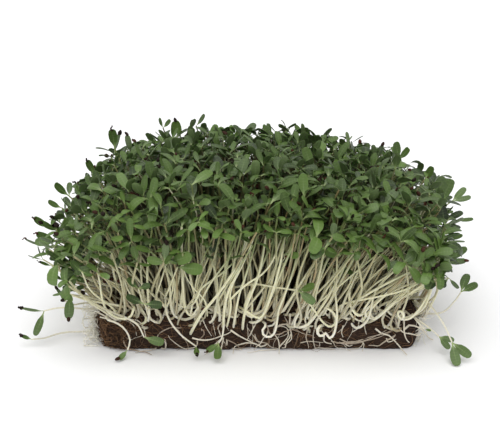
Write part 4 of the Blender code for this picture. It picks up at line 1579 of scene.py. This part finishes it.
FACE_ROOTS = tuple(Trail(*row) for row in (
    (((-31.6, 6.8), (-27.8, 6), (-24.3, 6.2), (-21.2, 6.7), (-17.7, 8.2), (-15.1, 9.3),
     (-12.9, 10.2)), 0.45, 0.95),
    (((-13.2, 10.9), (-9.5, 7.8), (-5.7, 4.9), (-1.5, 2.2)), 0.5, 0.95),
    (((-17, 7.3), (-19.4, 4.9), (-21.4, 2.2), (-23.5, -60.4, 1.2), (-25.4, -62.9, 1.2)), 0.4, 1),
    (((-16.9, 7.3), (-17.8, 2.6), (-18.6, -61.4, 1.2), (-19.3, -66.4, 1.2)), 0.4, 1),
    (((4.1, 3.1), (1.3, -57.9, 1.2), (-1.5, 2.6), (-5.3, 3.6), (-8.6, 3.1), (-10.9, -57.9, 1.2),
     (-12.3, -61.9, 1.2)), 0.4, 0.95),
    (((-3.4, 17.5), (-3.2, 12.4), (-3.6, 7.3)), 0.26, 0.9),
    (((-1.1, 16.5), (-3.4, 10.9), (-5.3, 5.2)), 0.3, 0.9),
    (((5.9, 18.6), (7.3, 13.4), (6.8, 9.3), (8.6, 6.7), (9.2, 2.6), (9.2, -62.4, 1.2)), 0.42, 0.95),
    (((14.3, 19.6), (14.8, 12.9), (15.2, 6.8), (13.5, 4.4), (11.7, 3.1)), 0.4, 0.95),
    (((9.3, 2.1), (12.1, 5.2), (14.4, 8.3), (13.5, 10.9), (10.6, 12.9), (7.8, 11.4)), 0.32, 0.9),
    (((6.4, 9.8), (9.2, 12.9), (14.3, 14), (19, 14.2), (23.7, 12.9)), 0.42, 0.6),
    (((30.4, 8.3), (31.4, 4.9), (34.3, 2.3)), 0.45, 0.95),
    (((-27.1, 18.6), (-24.9, 12.9), (-22.6, 7.8)), 0.3, 0.95),
    (((-28.1, 16.5), (-26.8, 10.9)), 0.3, 0.95),
    (((-22, 20.6), (-21.4, 14.5), (-20.7, 8.3)), 0.26, 0.85),
    (((-22.6, 22.2), (-20.1, 19.6), (-17.4, 16), (-14.2, 10.9)), 0.3, 0.9),
    (((67.2, 20.6), (67.7, 15.5), (68.5, 9.8), (69.9, 5.7), (71.8, 2.9)), 0.5, 1),
    (((54.8, 11.2), (58, 9.3), (61.2, 7.5), (65.4, 3.1), (67.9, -60.4, 1.2), (68.7, -63.4, 1.2)), 0.45, 1),
    (((63.4, 16.5), (64.8, 12.9), (67.8, 9.8), (71.6, 8.8), (74.4, 8.3)), 0.45, 0.95),
    (((34.2, 4.1), (40.4, 3.1), (46.5, 4.7), (52.9, 7), (58.9, 9.3), (64.8, 12.4)), 0.32, 0.45),
    (((36.2, 3.1), (42.7, 4.1), (48.8, 4.4), (55.3, 6.7), (62.2, 9.8)), 0.28, 0.4),
    (((38, 5.7), (43.7, 3.1), (50.2, 5.2), (56.6, 8.8), (60.2, 10.9)), 0.3, 0.5),
    (((40.4, 2.6), (46.5, 3.1), (52.1, 5.4), (58.5, 7.8), (66.2, 13.4)), 0.26, 0.35),
    (((-75.3, 20.6), (-70.4, 18), (-63.9, 16.8), (-57.4, 16.3), (-54.3, 12.9), (-53.4, 7.3)), 0.5, 1),
    (((-74.1, 18), (-68.6, 16), (-62.1, 15.8), (-58.5, 13.4), (-57.3, 8.3)), 0.4, 1),
    (((55.8, 20.6), (60, 18.4), (63.2, 13.8), (65, 10.6)), 0.3, 0.7),
    (((45.9, 18.4), (46.3, 14.7), (45.8, 10.6), (43.4, 9.4)), 0.36, 0.88),
    (((46.4, 17.4), (48.6, 14.7), (49.8, 11), (50.3, 8.7)), 0.3, 0.78),
    (((43, 18.4), (40.7, 13.8), (38.7, 11), (37.1, 9.2)), 0.25, 0.8),
    (((39.1, 12.9), (39, 9.2), (39.7, 6.4)), 0.32, 0.9),
    (((60.2, 6.4), (61.6, 4.6), (64.4, 6)), 0.3, 0.95),
    (((70.6, 8.3), (73.2, 7.3), (74.8, 8.7), (75.9, 10.1)), 0.4, 0.92),
    (((19.2, 3.6), (23.4, 4.3), (30, 3.1)), 0.25, 0.75),
    (((40.2, 2.8), (42.8, 1.7), (44.7, 2.5)), 0.3, 0.95),
    (((47.7, 4.6), (49.1, 2.2), (48.5, -59.7, 1.2)), 0.3, 0.95),
    (((68.8, 11), (71.2, 12.9), (73.9, 13), (76.6, -59, 11.6), (82.5, -45.2, 1.2),
     (84.1, -47.9, 1.2)), 0.45, 1),
))


@dataclass
class SeedCoats:
    """Seed coats that still grip the tips of leaves, and others caught among the stems."""

    thicket: Thicket
    share_of_leaves: float = 0.045
    share_at_left: float = 0.20
    left_from: float = -0.074
    grip: float = 0.0011
    droop: float = -0.3
    caught: int = 150
    clusters: int = 64
    cluster_size: tuple = (3, 7)
    seen_size: tuple = (6, 9)
    spread: float = 0.0012
    apart: float = 0.0004
    scale: tuple = (0.75, 1.15)
    highest: float = 0.0918
    near_floor: float = 0.0045
    lowest: float = 0.0018
    flattest_dip: float = -0.15
    seen_clusters: tuple = (
        (-69.7, -56, 36), (-64.9, -56, 39.8), (-44.8, -60, 50), (35.1, -20, 59.3),
        (42.4, -20, 60.8), (81.6, -20, 62), (18.5, 20, 75), (-16.3, 30, 77),
    )

    def build(self, material: Finish) -> Thing:
        """Makes the piece.

        Args:
            material: Its material.

        Returns:
            The piece.
        """
        rng = self.thicket.rng
        heap = Heap("seed_coats")
        for sprout in self.thicket.sprouts:
            for number, (matrix, kind, _) in enumerate(sprout.leaves):
                share = self.share_at_left if matrix.translation.x < self.left_from else self.share_of_leaves
                if rng.random() < share or (sprout.capped and number == 0):
                    points = Bench.coordinates(self.thicket.patterns.leaves[kind])
                    tip = Vector(points[points[:, 0].argmax()].tolist())
                    way = (matrix.to_3x3() @ Vector((1, 0, self.droop))).normalized()
                    self._add(heap, matrix @ tip - way * self.grip, way, rng.random() ** 2)
        dense = self.thicket.sprouts[len(STRAYS):]
        for _ in range(self.caught):
            self._scatter(heap, rng.choice(rng.choice(dense).route[4:]), 1)
        for _ in range(self.clusters):
            self._scatter(heap, rng.choice(rng.choice(dense).route[-4:-1]), rng.randint(*self.cluster_size))
        for spot in metres(self.seen_clusters):
            self._scatter(heap, spot, rng.randint(*self.seen_size))
        return tie(heap.join(material), "seed_coat")

    def _scatter(self, heap: Heap, at: Vector, count: int) -> None:
        """Adds a few seed coats that stick together round a point.

        Args:
            heap: Where they go.
            at: The point.
            count: How many there are.
        """
        rng = self.thicket.rng
        spread = self.spread * (count > 1)
        for _ in range(count):
            way = drift(rng, 1, 1, 0.5).normalized()
            aside = drift(rng, 1, 1, 1) * spread
            self._add(heap, at + aside + way * self.apart, way, rng.random())

    def _add(self, heap: Heap, at: Vector, way: Vector, tone: float) -> None:
        """Adds one seed coat.

        Args:
            heap: Where it goes.
            at: Where its blunt end is.
            way: The way its tip points.
            tone: Its own tone, from 0 to 1.
        """
        rng = self.thicket.rng
        if at.z > self.highest:
            return
        if at.z < self.near_floor:
            at.z = max(at.z, self.lowest)
            way.z = max(way.z, self.flattest_dip)
        turn = way.to_track_quat("X", "Z").to_matrix().to_4x4()
        roll = Matrix.Rotation(rng.uniform(0, 2 * math.pi), 4, "X")
        matrix = Matrix.Translation(at) @ turn @ roll @ Matrix.Scale(rng.uniform(*self.scale), 4)
        heap.add(rng.choice(self.thicket.patterns.hulls), matrix, tone)


class Skin:
    """The surface of the finished slab, which roots and fibres lie on."""

    LOWEST = 0.0009
    REACH = 0.0038

    def __init__(self, slab: Thing) -> None:
        """Sorts the slab's faces once, for all the questions that follow."""
        mesh = slab.data
        self.tree = BVHTree.FromPolygons([v.co for v in mesh.vertices], [p.vertices for p in mesh.polygons])

    def lift(self, point: Vector, height: float) -> Vector:
        """The nearest point of the skin, lifted off it.

        Args:
            point: Any point.
            height: How far it is lifted.

        Returns:
            The lifted point.
        """
        spot, normal, _, _ = self.tree.find_nearest(point)
        lifted = spot + normal * height
        lifted.z = max(lifted.z, self.LOWEST)
        return lifted

    def near(self, point: Vector, height: float) -> Vector:
        """A point lifted off the skin, or where it was if that is out of reach."""
        lifted = self.lift(point, height)
        return lifted if (lifted - point).length < self.REACH else point


@dataclass
class RootSkeins:
    """The roots over the slab's four sides: hanging strands that curl, and run out over the surface."""

    thicket: Thicket
    skin: Skin
    strands: tuple = ((Side.FRONT, 46), (Side.BACK, 110), (Side.LEFT, 80), (Side.RIGHT, 72))
    step: float = 0.0022
    middle_share: float = 0.55
    middle_spread: float = 0.36
    start: tuple = (0.005, 0.0205)
    sway: float = 0.5
    curl: float = 0.16
    wander: float = 0.30
    calm: float = 0.94
    sunk: float = -0.0006
    aways: tuple = (0.0003, 0.0006, 0.0012, 0.0026)
    fewest_points: int = 6
    floor: float = 0.0008
    floor_turn: float = 0.45
    floor_away: float = 0.0011
    most_away: float = 0.0070
    top: float = 0.0215
    past_end: float = 0.003
    radii: tuple = (0.00012, 0.00016, 0.00022, 0.00030, 0.00042)
    strand_taper: tuple = (1.1, 0.7)
    laid_taper: tuple = (1.1, 0.6)
    laid_lift: float = 0.8

    def strand(self, side: Side) -> tuple[list[Vector], float]:
        """Draws a root that leaves the face of the slab and hangs and curls over it.

        Args:
            side: The side.

        Returns:
            Its points and its radius.
        """
        rng = self.thicket.rng
        run, outward, half_run, half_depth = self.thicket.side_frame(side)
        s = rng.uniform(-half_run, half_run)
        if rng.random() < self.middle_share:
            s = rng.gauss(0, half_run * self.middle_spread)
        z = rng.uniform(*self.start)
        heading = rng.gauss(0, self.sway)
        curl = rng.gauss(0, self.curl)
        away = rng.choice(self.aways)
        out = self.sunk
        points = []
        for _ in range(rng.randint(self.fewest_points, Tube.ROOT.rings)):
            here = run * s + outward * half_depth + UP * z
            points.append(self.skin.lift(here, out))
            heading = (heading + curl + rng.gauss(0, self.wander)) * self.calm
            s += math.sin(heading) * self.step
            z -= math.cos(heading) * self.step
            out += (away - out) * 0.5
            if z < self.floor:
                z = self.floor
                heading += math.copysign(self.floor_turn, heading)
                away = min(away + self.floor_away, self.most_away)
            z = min(z, self.top)
            s = clamp(s, -half_run - self.past_end, half_run + self.past_end)
        return points, rng.choice(self.radii)

    def _lay(self, heap: Heap, points: Sequence[Vector], radii: Sequence[float], tone: float) -> None:
        """Adds one root to a side's heap."""
        route = smooth_route(points, Tube.ROOT.rings)
        heap.add_tube(self.thicket.patterns.tubes[Tube.ROOT], route, radii, tone)

    def build(self, material: Finish) -> list[Thing]:
        """Makes one piece for each side.

        Args:
            material: Their material.

        Returns:
            The pieces.
        """
        rng = self.thicket.rng
        rings = Tube.ROOT.rings
        pieces = []
        for side, count in self.strands:
            heap = Heap("root_skein_" + side.value)
            for _ in range(count):
                points, radius = self.strand(side)
                self._lay(heap, points, taper(radius, *self.strand_taper, rings), rng.random())
            for trail in FACE_ROOTS if side is Side.FRONT else ():
                radius = trail.radius / MILLIMETRES
                points = [self.skin.near(p, radius * self.laid_lift) for p in metres(trail.points)]
                self._lay(heap, points, taper(radius, *self.laid_taper, rings), trail.tone)
            pieces.append(tie(heap.join(material), "stem_root", "roots_" + side.value))
        return pieces


@dataclass
class PeatSlab:
    """The slab of growing medium, rough all over and flat below."""

    corner: float = 0.009
    edge: float = 0.0014
    bevel_steps: int = 4
    voxel: float = 0.00125
    outset: float = 0.0012
    below: float = 0.004
    foot: float = 0.0002
    roughness: tuple = (("swell", 0.055, 0.0050), ("lump", 0.009, 0.0027), ("crumb", 0.0026, 0.0013))

    def build(self, material: Finish) -> Thing:
        """Makes the piece.

        Args:
            material: Its material.

        Returns:
            The piece.
        """
        low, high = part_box("peat_slab")
        size = high - low + Vector((2, 2, 0)) * self.outset
        size.z += self.below
        bpy.ops.mesh.primitive_cube_add(size=1, location=(0, 0, size.z / 2 - self.below), scale=size)
        slab = bpy.context.object
        slab.name = "growing_slab"
        Bench.settle(slab)
        self._bevel(slab, self.corner, upright=True)
        self._bevel(slab, self.edge, upright=False)
        Bench.modify(slab, "REMESH", {"mode": "VOXEL", "voxel_size": self.voxel})
        for name, scale, strength in self.roughness:
            texture = bpy.data.textures.new(name, "CLOUDS")
            texture.noise_scale = scale
            texture.noise_depth = 3
            settings = {"texture": texture, "strength": strength, "mid_level": 0.5, "texture_coords": "LOCAL"}
            Bench.modify(slab, "DISPLACE", settings)
        self._flatten(slab)
        Bench.take(slab)
        bpy.ops.object.shade_smooth()
        slab.data.materials.append(material)
        return tie(slab, "growing_medium", "peat_slab")

    def _bevel(self, slab: Thing, width: float, upright: bool) -> None:
        """Rounds some of the slab's edges.

        Args:
            slab: The slab.
            width: How wide the bevel is.
            upright: Whether these are the upright corners, or the rims.
        """
        Bench.take(slab)
        bpy.ops.object.mode_set(mode="EDIT")
        bpy.ops.mesh.select_all(action="DESELECT")
        bpy.ops.object.mode_set(mode="OBJECT")
        mesh = slab.data
        top = max(v.co.z for v in mesh.vertices)
        foot = min(v.co.z for v in mesh.vertices)
        for edge in mesh.edges:
            first, second = (mesh.vertices[k].co.z for k in edge.vertices)
            on_rim = min(first, second) > top - NEAR or max(first, second) < foot + NEAR
            edge.select = abs(first - second) > top / 2 if upright else on_rim
        bpy.ops.object.mode_set(mode="EDIT")
        bpy.ops.mesh.select_mode(type="EDGE")
        bpy.ops.mesh.bevel(offset=width, segments=self.bevel_steps, affect="EDGES")
        bpy.ops.object.mode_set(mode="OBJECT")

    def _flatten(self, slab: Thing) -> None:
        """Cuts the underside flat, a hair above the surface, and closes it.

        Args:
            slab: The slab.
        """
        plane = {"plane_co": (0, 0, self.foot), "plane_no": (0, 0, 1)}
        every = range(len(slab.data.vertices))
        Bench.edit(slab, every, lambda: bpy.ops.mesh.bisect(**plane, use_fill=True, clear_inner=True))


@dataclass
class Fuzz:
    """Fine fibres on the slab: peat fibres all over, and pale root hairs, most at its left end."""

    thicket: Thicket
    skin: Skin
    fibres: int = 860
    corner_fibres: int = 430
    nest_hairs: int = 420
    right_hairs: int = 130
    step: float = 0.0021
    fibre_turn: tuple = (0.45, 0.45, 0.35)
    faces: tuple = (Side.FRONT, Side.FRONT, Side.BACK, Side.BACK, Side.LEFT, Side.RIGHT)
    face_heights: tuple = (0.001, 0.0225)
    corner_inset: tuple = (0.006, 0.003, 0.010)
    corner_spread: tuple = (0.008, 0.005)
    corner_heights: tuple = (-0.009, 0.011)
    most_rise: float = 0.0003
    fibre_lift: tuple = (-0.0001, 0.0004)
    fibre_radii: tuple = (0.00007, 0.00016)
    nest_depth: tuple = (-0.050, 0.030)
    nest_heights: tuple = (0.002, 0.021)
    nest_out: tuple = (0.003, 0.0095)
    right_out: tuple = (0.001, 0.0045)
    nest_pull: float = 140
    nest_floor: float = 0.0006
    nest_top: float = 0.023
    nest_front: float = -0.053
    hair_radii: tuple = (0.00008, 0.00024)

    def _lay(self, start: Vector, heading: Vector, lift: float, rise: float) -> list[Vector]:
        """A fibre that follows the skin of the slab, or stands off it.

        Args:
            start: Where it starts.
            heading: The way it sets off.
            lift: How far it lies off the skin.
            rise: How much farther off it is after each step.

        Returns:
            Its points.
        """
        points = []
        here = start
        for number in range(Tube.FIBRE.rings):
            here = self.skin.lift(here, lift + rise * number)
            points.append(here)
            heading = (heading + drift(self.thicket.rng, *self.fibre_turn)).normalized()
            here = here + heading * self.step
        return points

    def _random_face_point(self) -> tuple[Vector, Vector]:
        """Draws where a fibre starts.

        Returns:
            A point on one of the four sides, and a way along that side.
        """
        rng = self.thicket.rng
        run, outward, half_run, half_depth = self.thicket.side_frame(rng.choice(self.faces))
        point = run * rng.uniform(-half_run, half_run) + outward * half_depth
        point += UP * rng.uniform(*self.face_heights)
        return point, run * rng.choice((-1, 1)) + UP * rng.gauss(0, 0.5)

    def build_fibres(self, material: Finish) -> Thing:
        """Peat fibres on the sides, more of them and longer at the left front corner.

        Args:
            material: Their material.

        Returns:
            The piece.
        """
        rng = self.thicket.rng
        heap = Heap("peat_fibres")
        low = self.thicket.slab_low
        corner = Vector((low.x + self.corner_inset[0], low.y + self.corner_inset[1], self.corner_inset[2]))
        for number in range(self.fibres + self.corner_fibres):
            rise = 0.0
            if number < self.fibres:
                start, heading = self._random_face_point()
            else:
                aside = [rng.gauss(0, spread) for spread in self.corner_spread]
                start = corner + Vector((*aside, rng.uniform(*self.corner_heights)))
                heading = Vector((rng.gauss(-0.3, 1), rng.gauss(-0.3, 1), rng.gauss(0, 0.8))).normalized()
                rise = rng.uniform(0.0, self.most_rise)
            points = self._lay(start, heading, rng.uniform(*self.fibre_lift), rise)
            radii = [rng.uniform(*self.fibre_radii)] * len(points)
            heap.add_tube(self.thicket.patterns.tubes[Tube.FIBRE], points, radii, rng.random())
        return tie(heap.join(material), "growing_medium")

    def build_nest(self, material: Finish) -> Thing:
        """The pale mass of root hairs at the slab's left end, and a thinner one at its right end.

        Args:
            material: Its material.

        Returns:
            The piece.
        """
        rng = self.thicket.rng
        rings = Tube.ROOT.rings
        heap = Heap("root_nest")
        for number in range(self.nest_hairs + self.right_hairs):
            left = number < self.nest_hairs
            end, outward = (self.thicket.slab_low.x, -1) if left else (self.thicket.slab_high.x, 1)
            here = Vector((end, rng.uniform(*self.nest_depth), rng.uniform(*self.nest_heights)))
            heading = Vector((outward, rng.gauss(0, 0.8), rng.gauss(0, 0.6))).normalized()
            out = rng.uniform(*(self.nest_out if left else self.right_out))
            points = []
            for _ in range(rings):
                points.append(here.copy())
                heading += Vector((rng.gauss(0, 0.55), rng.gauss(0, 0.55), rng.gauss(-0.05, 0.5)))
                heading.x += (end + outward * out * 0.6 - here.x) * self.nest_pull
                heading.normalize()
                here = here + heading * self.step
                here.z = clamp(here.z, self.nest_floor, self.nest_top)
                here.y = max(self.nest_front, here.y)
            radii = [rng.uniform(*self.hair_radii)] * rings
            heap.add_tube(self.thicket.patterns.tubes[Tube.ROOT], points, radii, rng.uniform(0.8, 1.0))
        return tie(heap.join(material), "stem_root")


@dataclass
class Studio:
    """A plain pale floor, soft light from above, and the camera at the photo's place."""

    photo_width: int = 500
    photo_height: int = 448
    focal_pixels: float = 832.0
    slab_middle_pixel: float = 259.0
    slab_foot_pixel: float = 349.0
    distance: float = 0.400
    elevation: float = 27.0
    sun_power: float = 2.1
    sun_spread: float = 70.0
    sun_turn: tuple = (26.0, -8.0, 0.0)
    sky_power: float = 0.62

    def build_floor(self, material: Finish) -> None:
        """The floor, far larger than the view.

        Args:
            material: Its material.
        """
        bpy.ops.mesh.primitive_plane_add(size=8, location=(0, 0, 0))
        floor = bpy.context.object
        floor.name = "floor"
        floor.data.materials.append(material)

    def build_light(self) -> None:
        """A very soft sun from above, a little to the front and the left, and a pale sky."""
        lamp_data = bpy.data.lights.new("soft_sun", "SUN")
        lamp_data.energy = self.sun_power
        lamp_data.angle = math.radians(self.sun_spread)
        lamp = bpy.data.objects.new("soft_sun", lamp_data)
        lamp.rotation_euler = [math.radians(a) for a in self.sun_turn]
        bpy.context.scene.collection.objects.link(lamp)
        world = bpy.data.worlds.new("pale_sky")
        world.use_nodes = True
        world.node_tree.nodes["Background"].inputs["Color"].default_value = (1, 1, 1, 1)
        world.node_tree.nodes["Background"].inputs["Strength"].default_value = self.sky_power
        bpy.context.scene.world = world
        bpy.context.scene.view_settings.view_transform = "Standard"

    def build_camera(self, front: float) -> None:
        """The camera, placed so that the slab's front foot comes where the photo has it.

        Args:
            front: The slab's front face, along Y.
        """
        tilt = math.radians(self.elevation)
        drop = math.atan((self.slab_foot_pixel - self.photo_height / 2) / self.focal_pixels)
        aside = (self.photo_width / 2 - self.slab_middle_pixel) / self.focal_pixels * self.distance
        place = Vector((aside, front - self.distance * math.cos(tilt), self.distance * math.sin(tilt)))
        data = bpy.data.cameras.new("photo_camera")
        data.sensor_width = 36
        data.lens = self.focal_pixels / self.photo_width * data.sensor_width
        camera = bpy.data.objects.new("photo_camera", data)
        camera.location = place
        camera.rotation_euler = (math.pi / 2 - (tilt - drop), 0, 0)
        bpy.context.scene.collection.objects.link(camera)
        bpy.context.scene.camera = camera


def main() -> None:
    """Builds every part of the block in order, and reports each piece."""
    logging.basicConfig(level=logging.INFO, format="%(message)s")
    patterns = Patterns()
    patterns.build()
    thicket = Thicket(patterns, random.Random(SEED))
    thicket.grow()
    log.info("%d sprouts drawn", len(thicket.sprouts))
    pieces = thicket.build(LeafFinish().material(), StemFinish().material())
    pieces.append(SeedCoats(thicket).build(HullFinish().material()))
    slab = PeatSlab().build(PeatFinish().material())
    skin = Skin(slab)
    root_finish = RootFinish().material()
    nest_finish = RootFinish("root_nest", cream=srgb(243, 240, 226)).material()
    pieces += RootSkeins(thicket, skin).build(root_finish)
    fuzz = Fuzz(thicket, skin)
    pieces += [slab, fuzz.build_fibres(FibreFinish().material()), fuzz.build_nest(nest_finish)]
    patterns.clear()
    for piece in pieces:
        log.info("%s: %d faces", piece.name, len(piece.data.polygons))
    studio = Studio()
    studio.build_floor(FloorFinish().material())
    studio.build_light()
    studio.build_camera(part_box("peat_slab")[0].y)


if __name__ == "__main__":
    main()
